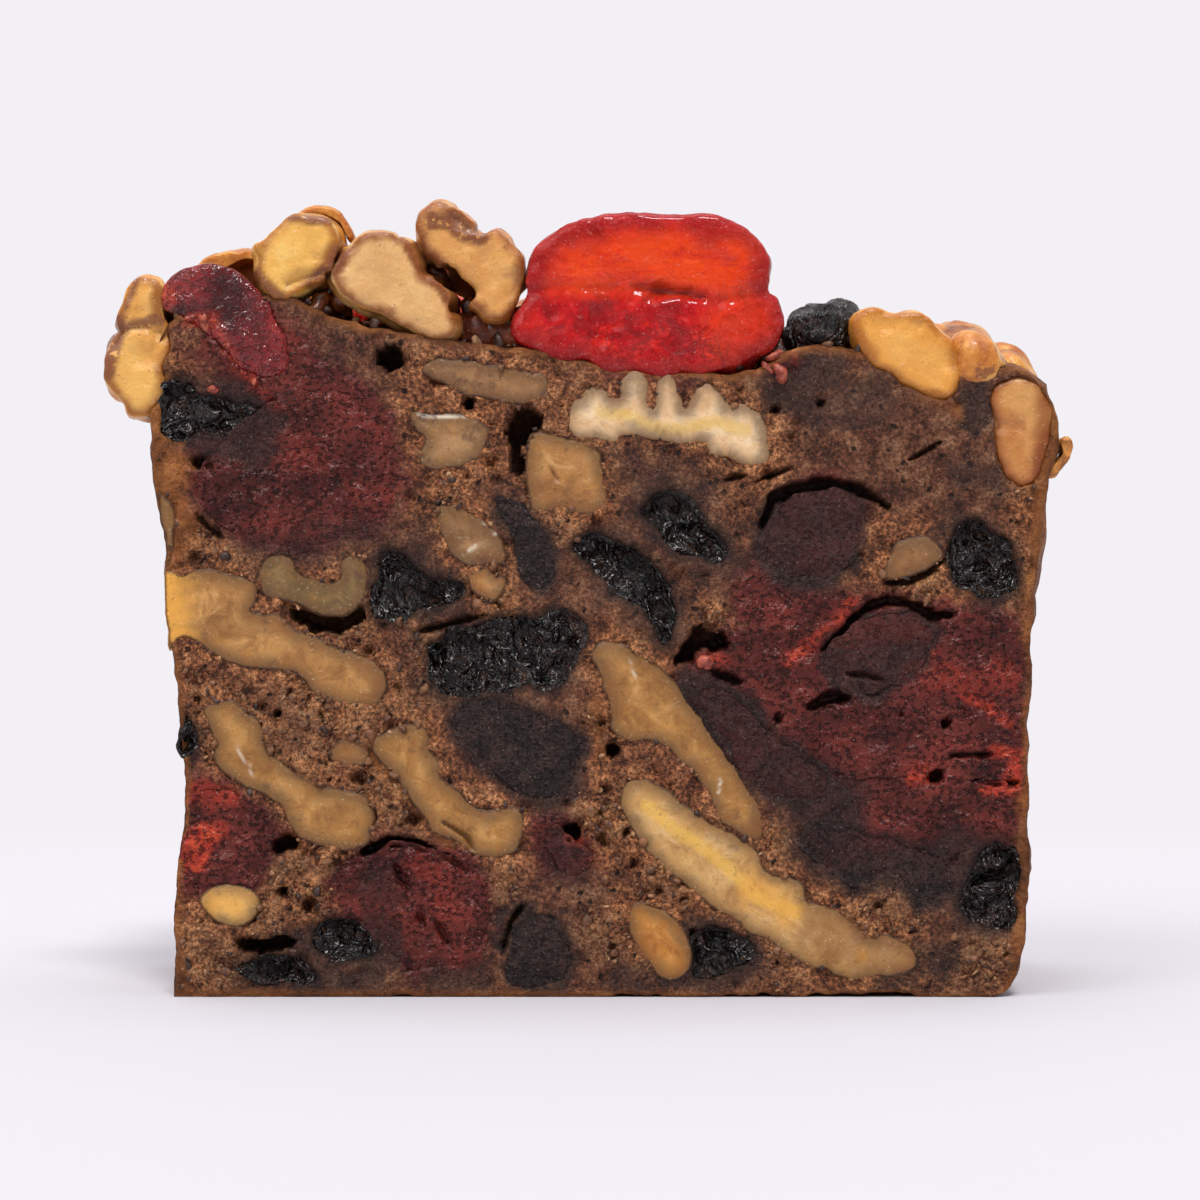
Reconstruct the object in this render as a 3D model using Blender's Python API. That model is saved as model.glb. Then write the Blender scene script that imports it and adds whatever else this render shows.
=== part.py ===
"""A slice of dark fruit cake, cut from a loaf and standing on its base.

The crumb is one solid with a pocket for every nut and fruit that the knife met. Each nut and
fruit is a solid of its own that sits in its pocket with a small clearance. The front cut face
looks along -Y, the crust faces are left, right and below, and the glazed topping is on +Z.
The origin is the middle of the base. All lengths in the tables are millimetres.
"""

import math
from dataclasses import dataclass

import bmesh
import bpy
from mathutils import Vector, noise
from mathutils.geometry import interpolate_bezier

MM = 0.001
SLICE_DEPTH = 28.0
FRONT = -SLICE_DEPTH / 2
BACK = SLICE_DEPTH / 2
CLEARANCE = 0.3
CUTTER_OVERRUN = 1.5
EDGE_SPACING = 2.4
FEWEST_CORNERS, MOST_CORNERS = 10, 22
SAMPLES_PER_SPAN = 10
CAP_SAMPLES = 7
CRUMB_SPACING = 3.4
RIM_SHARE = 0.97  # a point nearer to a circle than this share of its radius lies inside the area
UNEVEN_REACH, UNEVEN_PITCH = 0.44, 0.45
SEED_STEP = 3.7
LINE_PULL = 0.55  # share of a section's narrowing that its middle line follows
SHARP_ANGLE = math.radians(40)
TINY = 1e-6

# Edge of the crumb seen from the front, as (x, z): up the left crust, over the top, down the
# right crust. The base between the first and the last corner is straight.
CRUMB_EDGE = (
    (-34.2, 0.0), (-34.0, 8.0), (-33.5, 16.5), (-34.1, 25.0), (-34.7, 31.5), (-35.1, 38.0),
    (-36.0, 45.5), (-36.3, 50.0), (-35.4, 54.5), (-33.6, 57.2), (-30.0, 57.4), (-25.6, 58.7),
    (-20.5, 56.6), (-15.3, 55.4), (-9.5, 54.4), (-3.7, 53.9), (1.5, 52.9), (9.7, 52.0),
    (14.6, 52.6), (18.0, 54.2), (22.2, 54.1), (26.5, 52.6), (31.0, 51.9), (35.5, 52.6),
    (38.4, 50.9), (39.7, 47.7), (38.8, 43.5), (37.9, 37.3), (37.5, 29.8), (37.1, 22.3),
    (37.2, 16.4), (36.9, 8.1), (36.9, 4.6), (35.2, 0.6), (34.2, 0.0),
)

# How a piece's cross-section changes on its way in from the front: (share of the depth, scale).
PLUG = ((0.0, 1.0), (0.62, 0.93), (1.0, 0.5))
THROUGH = ((0.0, 1.0), (0.5, 1.03), (1.0, 0.84))
CUT_NUT = ((0.0, 1.0), (0.4, 1.04), (0.78, 0.82), (1.0, 0.42))
PEBBLE = ((0.0, 0.5), (0.18, 0.84), (0.5, 1.0), (0.82, 0.84), (1.0, 0.5))
CUT_BEHIND = ((0.0, 0.45), (0.25, 0.85), (0.6, 1.03), (1.0, 1.0))

COLOURS = {  # kind: (colour, roughness)
    "crumb": ((0.075, 0.034, 0.019, 1.0), 0.8),
    "walnut": ((0.42, 0.22, 0.085, 1.0), 0.5),
    "almond": ((0.60, 0.33, 0.12, 1.0), 0.5),
    "glazed_nut": ((0.72, 0.36, 0.10, 1.0), 0.3),
    "raisin": ((0.013, 0.009, 0.008, 1.0), 0.3),
    "prune": ((0.030, 0.022, 0.022, 1.0), 0.45),
    "dark_cherry": ((0.070, 0.018, 0.017, 1.0), 0.4),
    "glace_cherry": ((0.62, 0.020, 0.018, 1.0), 0.2),
}


@dataclass(frozen=True)
class Piece:
    """A nut or a fruit: circles (x, z, radius) swept along its middle line, and its depth.

    start and depth place it in Y, counted in from the front cut face. side_cut means that the
    crust trims it. sprouts are further swept runs that stand out of it, such as nut lobes.
    """

    name: str
    kind: str
    line: tuple
    depth: float
    profile: tuple = PLUG
    start: float = 0.0
    side_cut: bool = False
    sprouts: tuple = ()


WALNUTS = (
    Piece("walnut_01", "walnut", ((-12.7, 52.4, 1.1), (-8.7, 52.1, 1.5), (-3.7, 50.8, 1.5)), 6.0),
    Piece("walnut_02", "walnut", ((-13.5, 47.4, 0.9), (-11.6, 46.4, 2.1), (-8.9, 46.7, 1.2)), 7.0),
    Piece("walnut_03", "walnut", ((-3.3, 45.4, 1.5), (-1.7, 43.7, 2.5), (0.5, 43.0, 1.8)), 9.0),
    # The pale half under the glace cherry, with the lobes of its wrinkled side standing up.
    Piece("walnut_04", "walnut",
          ((-0.4, 48.0, 1.4), (1.7, 48.1, 1.9), (4.8, 47.6, 1.4), (8.0, 47.4, 1.4),
           (11.2, 46.8, 1.9), (13.7, 46.1, 1.9), (14.8, 45.2, 1.1)), 8.0,
          sprouts=(((4.3, 47.9, 1.1), (4.3, 50.6, 1.1)), ((7.2, 47.6, 0.8), (7.3, 50.3, 0.8)),
                   ((10.4, 47.4, 1.1), (10.2, 49.8, 1.1)))),
    Piece("walnut_05", "walnut", ((-9.9, 39.6, 1.6), (-8.3, 37.8, 2.1)), 8.0),
    Piece("walnut_06", "walnut",
          ((-26.3, 35.5, 1.1), (-23.6, 34.1, 1.4), (-20.8, 33.3, 1.6), (-19.2, 35.2, 1.1)), 7.0),
    # The large half that reaches the left crust and runs right through the slice.
    Piece("walnut_07", "walnut",
          ((-37.5, 32.6, 3.2), (-31.9, 32.2, 3.2), (-28.6, 30.7, 2.9), (-24.7, 28.7, 2.0),
           (-20.7, 26.7, 2.0), (-16.1, 26.5, 1.8)), SLICE_DEPTH, THROUGH, side_cut=True),
    Piece("walnut_08", "walnut",
          ((-30.2, 23.3, 1.2), (-29.1, 20.8, 1.8), (-26.3, 18.0, 1.7), (-23.2, 15.7, 2.0),
           (-20.2, 14.3, 1.9), (-18.8, 14.3, 1.2)), 13.0),
    Piece("walnut_09", "walnut",
          ((-15.7, 21.6, 1.2), (-14.6, 20.3, 1.8), (-12.2, 17.3, 1.6), (-10.2, 14.9, 1.5),
           (-7.7, 13.8, 1.9), (-6.4, 14.1, 1.2)), SLICE_DEPTH, THROUGH),
    Piece("walnut_10", "walnut",
          ((2.4, 27.7, 1.7), (4.1, 24.8, 2.6), (7.6, 21.8, 1.9), (10.6, 18.3, 1.8),
           (12.9, 15.8, 1.4), (14.2, 14.2, 0.7)), SLICE_DEPTH, THROUGH),
    # The long pale half near the base, with its yellow midline.
    Piece("walnut_11", "walnut",
          ((4.7, 16.4, 1.6), (7.2, 13.8, 2.1), (10.7, 11.3, 2.4), (14.3, 8.6, 2.5),
           (17.0, 6.2, 2.2), (19.6, 4.9, 2.0), (23.3, 3.5, 1.7), (26.2, 3.5, 1.2)), 12.0),
    Piece("walnut_12", "walnut", ((-35.4, 41.2, 0.9), (-35.0, 38.8, 1.0), (-34.9, 36.8, 0.8)), 11.0,
          side_cut=True),
    Piece("almond_01", "almond", ((-30.2, 7.8, 1.3), (-28.7, 7.4, 1.3)), 10.0),
    Piece("almond_02", "almond", ((5.0, 6.6, 1.1), (6.2, 4.6, 1.7), (7.4, 2.8, 1.1)), 10.0),
)

RAISINS = (
    Piece("raisin_01", "raisin",
          ((-34.9, 49.9, 0.9), (-33.3, 48.3, 2.1), (-30.2, 47.5, 1.8), (-27.6, 47.3, 1.2)), 8.0),
    Piece("raisin_02", "raisin",
          ((-15.8, 36.0, 1.2), (-15.0, 33.6, 2.1), (-12.6, 33.3, 1.4), (-10.9, 33.3, 0.8)), 9.0),
    Piece("raisin_03", "raisin",
          ((-12.3, 28.6, 1.7), (-9.5, 27.9, 2.6), (-5.4, 28.4, 3.0), (-2.3, 30.0, 2.0),
           (-1.2, 31.0, 1.2)), 10.0),
    Piece("raisin_04", "raisin",
          ((0.9, 37.6, 1.3), (3.2, 36.2, 1.9), (5.7, 33.6, 2.0), (7.1, 31.0, 1.4)), 8.0),
    Piece("raisin_05", "raisin", ((5.4, 43.3, 1.7), (7.0, 41.6, 2.1), (8.8, 39.3, 1.7)), 9.0),
    Piece("raisin_06", "raisin", ((31.8, 38.2, 1.4), (33.2, 36.4, 2.2), (34.1, 35.5, 2.0)), 9.0),
    Piece("raisin_07", "raisin", ((34.6, 11.6, 1.6), (34.6, 9.2, 2.1), (33.3, 6.9, 1.6)), 9.0),
    Piece("raisin_08", "raisin", ((-28.0, 3.2, 1.4), (-25.9, 2.4, 1.4), (-23.8, 2.4, 1.2)), 7.0),
    Piece("raisin_09", "raisin", ((-20.4, 5.3, 1.6), (-18.7, 3.7, 1.6)), 9.0),
    Piece("raisin_10", "raisin", ((9.8, 4.9, 1.0), (11.0, 3.0, 1.5), (12.7, 2.3, 1.3)), 9.0),
    # The wrinkled raisin that stands out of the left crust.
    Piece("raisin_11", "raisin", ((-33.3, 24.3, 1.1), (-33.1, 21.9, 1.5), (-33.2, 19.8, 1.0)), 9.0,
          PEBBLE),
    Piece("prune_01", "prune", ((-8.6, 22.8, 1.7), (-5.5, 21.2, 2.8), (-2.2, 20.4, 2.7)),
          SLICE_DEPTH, THROUGH),
    Piece("prune_02", "prune", ((18.1, 38.7, 2.8), (20.1, 38.9, 2.8)), SLICE_DEPTH, THROUGH),
    Piece("prune_03", "prune",
          ((10.8, 24.8, 1.1), (13.4, 21.9, 1.8), (15.9, 18.9, 1.7), (17.8, 16.7, 1.1)), 12.0),
    Piece("prune_04", "prune", ((21.7, 27.9, 1.6), (24.5, 28.9, 2.3), (27.0, 29.7, 2.0)), 10.0),
    Piece("prune_05", "prune", ((20.2, 12.9, 1.3), (23.4, 11.3, 1.7), (27.0, 9.7, 1.6)), 10.0),
    Piece("prune_06", "prune", ((-4.5, 5.4, 1.5), (-3.8, 3.4, 2.0)), SLICE_DEPTH, THROUGH),
    Piece("prune_07", "prune", ((-5.6, 39.6, 1.1), (-4.2, 36.6, 1.4), (-3.6, 34.9, 1.1)), 7.0),
)

CHERRIES = (
    Piece("dark_cherry_01", "dark_cherry",
          ((-20.0, 47.6, 2.1), (-21.6, 44.0, 3.7), (-23.9, 42.1, 4.4), (-27.2, 41.6, 3.2)),
          SLICE_DEPTH, THROUGH),
    Piece("dark_cherry_02", "dark_cherry",
          ((-31.9, 16.4, 1.2), (-31.0, 13.9, 2.2), (-31.5, 11.2, 1.5)), 9.0),
    Piece("dark_cherry_03", "dark_cherry",
          ((-17.2, 8.9, 2.1), (-14.1, 9.3, 2.9), (-10.9, 8.2, 2.7)), SLICE_DEPTH, THROUGH),
    Piece("dark_cherry_04", "dark_cherry",
          ((20.7, 21.0, 2.2), (24.6, 21.2, 2.9), (28.2, 21.1, 2.0)), SLICE_DEPTH, THROUGH),
    Piece("dark_cherry_05", "dark_cherry", ((15.8, 33.0, 1.4), (17.1, 29.9, 1.7)), 10.0),
    Piece("dark_cherry_06", "dark_cherry",
          ((32.5, 29.6, 1.7), (33.8, 27.6, 2.2), (33.5, 24.9, 1.6)), 10.0),
    Piece("dark_cherry_07", "dark_cherry", ((30.8, 16.6, 1.3), (33.8, 16.4, 1.9)),
          SLICE_DEPTH, THROUGH),
    Piece("dark_cherry_08", "dark_cherry", ((-2.0, 13.2, 1.3), (-0.7, 11.4, 1.6)), 8.0),
)

TOPPING = (
    Piece("glazed_nut_01", "glazed_nut",
          ((-36.2, 58.6, 1.1), (-36.9, 55.9, 1.7), (-37.75, 52.8, 2.0), (-38.0, 50.6, 1.2)), 9.0,
          CUT_NUT),
    Piece("dark_cherry_09", "dark_cherry",
          ((-32.5, 58.1, 2.0), (-29.3, 57.7, 2.6), (-26.1, 54.7, 2.3), (-24.7, 51.2, 1.5)), 9.0,
          CUT_NUT),
    Piece("glazed_nut_02", "glazed_nut", ((-24.6, 61.5, 2.8), (-22.9, 62.4, 2.4)), 9.0, CUT_NUT),
    Piece("glazed_nut_03", "glazed_nut",
          ((-18.5, 61.2, 1.8), (-16.5, 60.7, 2.6), (-13.9, 58.8, 2.4), (-12.1, 56.9, 1.5)), 9.0,
          CUT_NUT),
    Piece("glazed_nut_04", "glazed_nut",
          ((-12.2, 64.5, 1.7), (-9.8, 62.8, 2.1), (-7.3, 61.3, 2.1), (-7.0, 59.0, 1.5),
           (-7.3, 57.8, 0.9)), 9.0, PEBBLE, start=0.6),
    # Halved where the stone was: the lower half is wider, and the groove runs between the two.
    Piece("glace_cherry_01", "glace_cherry",
          ((-3.9, 56.2, 1.9), (1.3, 56.2, 3.6), (9.7, 56.0, 4.1), (12.9, 56.2, 3.8)), 12.0,
          CUT_NUT, sprouts=(((-1.2, 61.2, 3.2), (4.7, 61.3, 3.8), (11.5, 61.0, 4.0)),)),
    Piece("raisin_12", "raisin", ((17.8, 54.6, 0.9), (18.8, 55.6, 1.2), (20.2, 56.2, 1.2)), 8.0,
          PEBBLE, start=0.5),
    Piece("glazed_nut_05", "glazed_nut",
          ((24.0, 56.0, 1.5), (26.2, 54.6, 2.6), (28.7, 52.9, 2.6), (30.1, 51.3, 1.1)), 7.0,
          CUT_NUT),
    Piece("glazed_nut_06", "glazed_nut", ((33.2, 53.9, 1.0), (33.7, 52.2, 1.2)), 5.0, CUT_NUT),
    Piece("glazed_nut_07", "glazed_nut",
          ((36.3, 49.6, 1.5), (36.6, 47.6, 1.9), (36.6, 45.2, 1.7), (36.5, 43.7, 1.0)), 7.0,
          CUT_NUT),
    # Second row, seen past the first one.
    Piece("glazed_nut_08", "glazed_nut", ((30.3, 54.7, 2.0), (33.0, 54.5, 1.8)), 9.0, PEBBLE,
          start=7.8),
    Piece("glazed_nut_09", "glazed_nut", ((36.2, 53.3, 1.2), (37.6, 51.2, 1.2)), 9.0, PEBBLE,
          start=8.2),
    Piece("glazed_nut_10", "glazed_nut", ((-10.2, 55.2, 1.3), (-7.6, 55.2, 1.2)), 9.0, PEBBLE,
          start=1.8),
    Piece("glazed_nut_11", "glazed_nut", ((-31.0, 60.1, 2.3), (-27.9, 60.6, 2.3)), 8.0, PEBBLE,
          start=10.0),
    # Back row, trimmed flat by the second cut.
    Piece("glace_cherry_02", "glace_cherry", ((-18.6, 58.2, 4.0), (-13.6, 58.0, 4.2)), 16.0,
          CUT_BEHIND, start=SLICE_DEPTH - 16.0),
    Piece("glazed_nut_12", "glazed_nut", ((-6.6, 56.1, 2.2), (-2.6, 57.0, 2.7), (1.4, 55.9, 2.4)),
          14.0, CUT_BEHIND, start=SLICE_DEPTH - 14.0),
    Piece("glazed_nut_13", "glazed_nut", ((6.4, 54.8, 2.6), (10.8, 55.6, 3.0), (14.6, 54.6, 2.6)),
          13.0, CUT_BEHIND, start=SLICE_DEPTH - 13.0),
    Piece("glazed_nut_14", "glazed_nut", ((19.2, 55.2, 2.0), (23.0, 54.8, 2.4), (26.2, 53.6, 2.0)),
          17.0, CUT_BEHIND, start=SLICE_DEPTH - 17.0),
    Piece("glazed_nut_15", "glazed_nut", ((-32.2, 58.8, 2.6), (-26.6, 60.0, 2.9)), 9.0,
          CUT_BEHIND, start=SLICE_DEPTH - 9.0),
)

PIECES = WALNUTS + RAISINS + CHERRIES + TOPPING


def make_collection(name):
    """A new collection in the scene."""
    made = bpy.data.collections.new(name)
    bpy.context.scene.collection.children.link(made)
    return made


def make_material(kind):
    """A Principled material in the kind's colour and roughness."""
    colour, roughness = COLOURS[kind]
    material = bpy.data.materials.new(kind)
    material.use_nodes = True
    shader = material.node_tree.nodes["Principled BSDF"]
    shader.inputs["Base Color"].default_value = colour
    shader.inputs["Roughness"].default_value = roughness
    material.diffuse_color = colour
    return material


def swept_circles(line):
    """Circles (x, z, radius) along the smooth curve through the given ones."""
    stations = [Vector(s) for s in line]
    slopes = [
        (stations[min(i + 1, len(stations) - 1)] - stations[max(i - 1, 0)]) / 2
        for i in range(len(stations))
    ]
    circles = []
    for i in range(len(stations) - 1):
        handle_out = stations[i] + slopes[i] / 3
        handle_in = stations[i + 1] - slopes[i + 1] / 3
        run = interpolate_bezier(
            stations[i], handle_out, handle_in, stations[i + 1], SAMPLES_PER_SPAN + 1
        )
        circles += run if i == 0 else run[1:]
    return circles


def sides_of(circles):
    """The rim points left and right of each circle, and the angle of the line at both ends."""
    left, right, headings = [], [], []
    for i, circle in enumerate(circles):
        ahead = circles[min(i + 1, len(circles) - 1)]
        behind = circles[max(i - 1, 0)]
        heading = Vector((ahead.x - behind.x, ahead.y - behind.y)).normalized()
        across = Vector((-heading.y, heading.x)) * circle.z
        centre = Vector((circle.x, circle.y))
        left.append(centre + across)
        right.append(centre - across)
        headings.append(math.atan2(heading.y, heading.x))
    return left, right, headings[0], headings[-1]


def half_round(circle, middle_angle):
    """Points round the end of a swept run, centred on middle_angle, clockwise."""
    centre = Vector((circle.x, circle.y))
    points = []
    for i in range(1, CAP_SAMPLES + 1):
        angle = middle_angle + math.pi * (0.5 - i / (CAP_SAMPLES + 1))
        points.append(centre + Vector((math.cos(angle), math.sin(angle))) * circle.z)
    return points


def resampled(points, spacing, fewest, most):
    """The closed line through points as corners at equal distances."""
    lengths = [(points[i - 1] - points[i]).length for i in range(len(points))]
    total = sum(lengths)
    count = max(fewest, min(most, round(total / spacing)))
    corners, travelled, i = [], 0.0, 0
    for k in range(count):
        target = total * k / count
        while travelled + lengths[(i + 1) % len(points)] < target:
            travelled += lengths[(i + 1) % len(points)]
            i += 1
        start, end = points[i % len(points)], points[(i + 1) % len(points)]
        span = max((end - start).length, TINY)
        corners.append(start.lerp(end, (target - travelled) / span))
    return corners


def outline_of(line, spacing=EDGE_SPACING):
    """Outline corners of the area that the circles sweep, and each corner's point on the line."""
    circles = swept_circles(line)
    left, right, first_angle, last_angle = sides_of(circles)
    rim = left + half_round(circles[-1], last_angle)
    rim += right[::-1] + half_round(circles[0], first_angle + math.pi)

    def on_the_edge(point):
        return all((point - Vector((c.x, c.y))).length > RIM_SHARE * c.z for c in circles)

    rim = [point for point in rim if on_the_edge(point)]
    corners = resampled(rim, spacing, FEWEST_CORNERS, MOST_CORNERS)
    anchors = []
    for corner in corners:
        nearest = min(circles, key=lambda c: (corner - Vector((c.x, c.y))).length - c.z)
        anchors.append(Vector((nearest.x, nearest.y)))
    return corners, anchors


def uneven(corners, seed):
    """The corners moved in and out a little, as nothing in a cake is a true curve."""
    middle = sum(corners, Vector((0.0, 0.0))) / len(corners)
    moved = []
    for corner in corners:
        out = (corner - middle).normalized()
        place = Vector((corner.x * UNEVEN_PITCH, corner.y * UNEVEN_PITCH, seed * SEED_STEP))
        moved.append(corner + out * noise.noise(place) * UNEVEN_REACH)
    return moved


def grown(corners, distance):
    """The outline with each corner moved out along its own normal."""
    moved = []
    for i, corner in enumerate(corners):
        along = (corners[(i + 1) % len(corners)] - corners[i - 1]).normalized()
        moved.append(corner + Vector((-along.y, along.x)) * distance)
    return moved


def loft(name, rings, collection, material=None):
    """A closed solid through rings of corners, each ring a (y, [(x, z), ...]) pair, in mm."""
    shape = bmesh.new()
    rows = [
        [shape.verts.new((x * MM, y * MM, z * MM)) for x, z in corners] for y, corners in rings
    ]
    shape.faces.new(rows[0])
    shape.faces.new(rows[-1][::-1])
    for near, far in zip(rows, rows[1:]):
        for i in range(len(near)):
            shape.faces.new((near[i - 1], near[i], far[i], far[i - 1]))
    bmesh.ops.triangulate(shape, faces=list(shape.faces))
    bmesh.ops.recalc_face_normals(shape, faces=list(shape.faces))
    mesh = bpy.data.meshes.new(name)
    shape.to_mesh(mesh)
    shape.free()
    mesh.shade_smooth()
    mesh.set_sharp_from_angle(angle=SHARP_ANGLE)
    made = bpy.data.objects.new(name, mesh)
    collection.objects.link(made)
    if material:
        mesh.materials.append(material)
    return made


def helper(made):
    """Marks an object as a construction aid that is no part of the cake."""
    made.hide_render = True
    made.display_type = "WIRE"
    return made


def boolean(target, operation, other=None, collection=None):
    """Adds an exact Boolean modifier against an object or a collection."""
    modifier = target.modifiers.new(operation.lower(), "BOOLEAN")
    modifier.operation = operation
    modifier.solver = "EXACT"
    if collection:
        modifier.operand_type = "COLLECTION"
        modifier.collection = collection
    else:
        modifier.object = other


def rings_of(piece, line, seed, growth=0.0):
    """A piece's rings from front to back. growth makes the pocket, which overruns a cut end."""
    corners, anchors = outline_of(line)
    corners = uneven(corners, seed)
    middle = sum(anchors, Vector((0.0, 0.0))) / len(anchors)
    start, depth = FRONT + piece.start, piece.depth
    rings = []
    for share, scale in piece.profile:
        pull = 1.0 - LINE_PULL * (1.0 - min(scale, 1.0))
        ring = [
            middle + (anchor - middle) * pull + (corner - anchor) * scale
            for corner, anchor in zip(corners, anchors)
        ]
        rings.append([start + share * depth, grown(ring, growth)])
    if growth:
        opens_front = start <= FRONT and piece.profile is not PEBBLE
        opens_back = start + depth >= BACK - TINY
        rings[0][0] -= CUTTER_OVERRUN if opens_front else growth
        rings[-1][0] += CUTTER_OVERRUN if opens_back else growth
    return rings


def build_crumb(name, collection, material=None, overrun=0.0):
    """The crumb before any pocket is cut, as a prism with the cake's cut outline."""
    edge = swept_circles([(x, z, 0.0) for x, z in CRUMB_EDGE])
    closed = [Vector((point.x, max(point.y, 0.0))) for point in edge][::-1]
    corners = resampled(closed, CRUMB_SPACING, FEWEST_CORNERS, len(closed))
    rings = [(FRONT - overrun, corners), (BACK + overrun, corners)]
    return loft(name, rings, collection, material)


def build_piece(piece, seed, parts, cutters, aids, material, blank):
    """A nut or fruit in its place, and the pocket that it needs in the crumb."""
    made = loft(piece.name, rings_of(piece, piece.line, seed), parts, material)
    pocket = helper(
        loft(f"pocket_{piece.name}", rings_of(piece, piece.line, seed, CLEARANCE), cutters)
    )
    for i, run in enumerate(piece.sprouts):
        sprout = helper(loft(f"sprout_{piece.name}_{i}", rings_of(piece, run, seed), aids))
        boolean(made, "UNION", sprout)
        wider = rings_of(piece, run, seed, CLEARANCE)
        boolean(pocket, "UNION", helper(loft(f"sprout_pocket_{piece.name}_{i}", wider, aids)))
    if piece.side_cut:
        boolean(made, "INTERSECT", blank)


def main():
    """Builds the crumb, then every nut and fruit, then cuts the pockets."""
    for old in list(bpy.data.objects):
        bpy.data.objects.remove(old)
    parts = make_collection("fruit_cake_slice")
    cutters = make_collection("pocket_cutters")
    aids = make_collection("construction_aids")
    materials = {kind: make_material(kind) for kind in COLOURS}
    crumb = build_crumb("crumb", parts, materials["crumb"])
    blank = helper(build_crumb("crumb_blank", aids, overrun=CUTTER_OVERRUN))
    for seed, piece in enumerate(PIECES):
        build_piece(piece, seed, parts, cutters, aids, materials[piece.kind], blank)
    boolean(crumb, "DIFFERENCE", collection=cutters)


main()
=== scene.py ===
"""Looks of a standing slice of dark fruit cake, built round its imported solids.

The crumb is one closed mesh with the relief of a knife-cut face, baked sides and a sticky top.
Every nut and fruit in the two cut faces is a closed piece whose surface follows its kind: waxy
nut, wrinkled raisin, grainy prune, soaked cherry. The topping pieces are swollen, folded copies
of their solids under a clear glaze. Lengths are millimetres unless a name says otherwise.
"""

from __future__ import annotations

import itertools
import logging
import math
from dataclasses import dataclass
from enum import Enum
from typing import Optional, Sequence, Union

import bmesh
import bpy
import numpy as np
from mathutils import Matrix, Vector
from mathutils.geometry import delaunay_2d_cdt

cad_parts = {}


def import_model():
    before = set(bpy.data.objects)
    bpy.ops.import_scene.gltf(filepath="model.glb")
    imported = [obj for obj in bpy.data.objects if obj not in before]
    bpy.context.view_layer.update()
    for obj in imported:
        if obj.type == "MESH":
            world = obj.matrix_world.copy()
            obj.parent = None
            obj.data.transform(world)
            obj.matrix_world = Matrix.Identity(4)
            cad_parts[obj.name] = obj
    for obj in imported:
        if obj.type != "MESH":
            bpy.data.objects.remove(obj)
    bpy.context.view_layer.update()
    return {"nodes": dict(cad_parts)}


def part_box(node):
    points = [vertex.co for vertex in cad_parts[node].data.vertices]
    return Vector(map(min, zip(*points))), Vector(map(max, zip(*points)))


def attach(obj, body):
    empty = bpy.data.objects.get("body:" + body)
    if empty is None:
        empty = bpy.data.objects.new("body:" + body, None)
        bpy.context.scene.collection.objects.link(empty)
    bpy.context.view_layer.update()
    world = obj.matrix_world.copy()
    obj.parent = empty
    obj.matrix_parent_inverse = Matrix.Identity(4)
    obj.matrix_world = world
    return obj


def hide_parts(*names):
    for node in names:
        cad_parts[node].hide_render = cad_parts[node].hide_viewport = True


log = logging.getLogger("fruit_cake")

MM = 0.001
FRONT, BACK = -14.0, 14.0
BODY = "root"

Socket = bpy.types.NodeSocket
Value = Union[float, str, tuple, Socket]
Numbers = Union[float, np.ndarray]
Corners = Sequence[float]  # places in a cut face: x, z, x, z and so on


# ---------------------------------------------------------------------------------------------
# Numbers: easing and layered noise on arrays of points
# ---------------------------------------------------------------------------------------------


def ease(low: float, high: float, values: np.ndarray) -> np.ndarray:
    """Smooth step from 0 at low to 1 at high.

    Args:
        low: Value where the result starts to leave 0. It may be above high.
        high: Value where the result reaches 1.
        values: Any array.

    Returns:
        An array of the same shape, from 0 to 1.
    """
    share = np.clip((values - low) / (high - low), 0.0, 1.0)
    return share * share * (3.0 - 2.0 * share)


def hashed(cells: np.ndarray, seed: int) -> np.ndarray:
    """Values that look random, the same for the same lattice cell.

    Args:
        cells: Whole numbers, shape (..., 3).
        seed: Picks another set of values.

    Returns:
        Values from 0 to 1, shape (...).
    """
    x, y, z = (cells[..., k].astype(np.uint64) for k in range(3))
    mixed = x * np.uint64(0x9E3779B97F4A7C15) + y * np.uint64(0xC2B2AE3D27D4EB4F)
    mixed += z * np.uint64(0x165667B19E3779F9) + np.uint64(seed * 7919 + 17)
    mixed ^= mixed >> np.uint64(29)
    mixed *= np.uint64(0xBF58476D1CE4E5B9)
    mixed ^= mixed >> np.uint64(32)
    return (mixed & np.uint64(0xFFFFFF)).astype(float) / 0xFFFFFF


def smooth_noise(points: np.ndarray, pitch: float, seed: int) -> np.ndarray:
    """Smooth noise from -1 to 1.

    Args:
        points: Places, shape (n, 3).
        pitch: Distance between the noise's lattice points.
        seed: Picks another field.

    Returns:
        One value for each place.
    """
    scaled = points / pitch
    base = np.floor(scaled).astype(np.int64)
    share = scaled - base
    share = share * share * (3.0 - 2.0 * share)
    total = np.zeros(len(points))
    for corner in itertools.product((0, 1), repeat=3):
        weights = np.where(np.array(corner) == 1, share, 1.0 - share).prod(axis=1)
        total += weights * hashed(base + np.array(corner), seed)
    return total * 2.0 - 1.0


def fractal(
    points: np.ndarray, pitch: float, octaves: int = 4, seed: int = 0, folded: bool = False
) -> np.ndarray:
    """Layers of noise, each at half the pitch and half the height of the one before.

    Args:
        points: Places, shape (n, 3).
        pitch: Pitch of the coarsest layer.
        octaves: Number of layers.
        seed: Picks another field.
        folded: Folds each layer at its zero line, which makes sharp creases at 0 and domes.

    Returns:
        Values near -1 to 1, or from 0 in the creases to 1 on the domes when folded.
    """
    total, reach = np.zeros(len(points)), 0.0
    for k in range(octaves):
        layer = smooth_noise(points, pitch / 2**k, seed + 31 * k)
        total += (np.abs(layer) if folded else layer) / 2**k
        reach += 1.0 / 2**k
    return np.clip(total / reach * 1.6, -1.0, 1.0)


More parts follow.
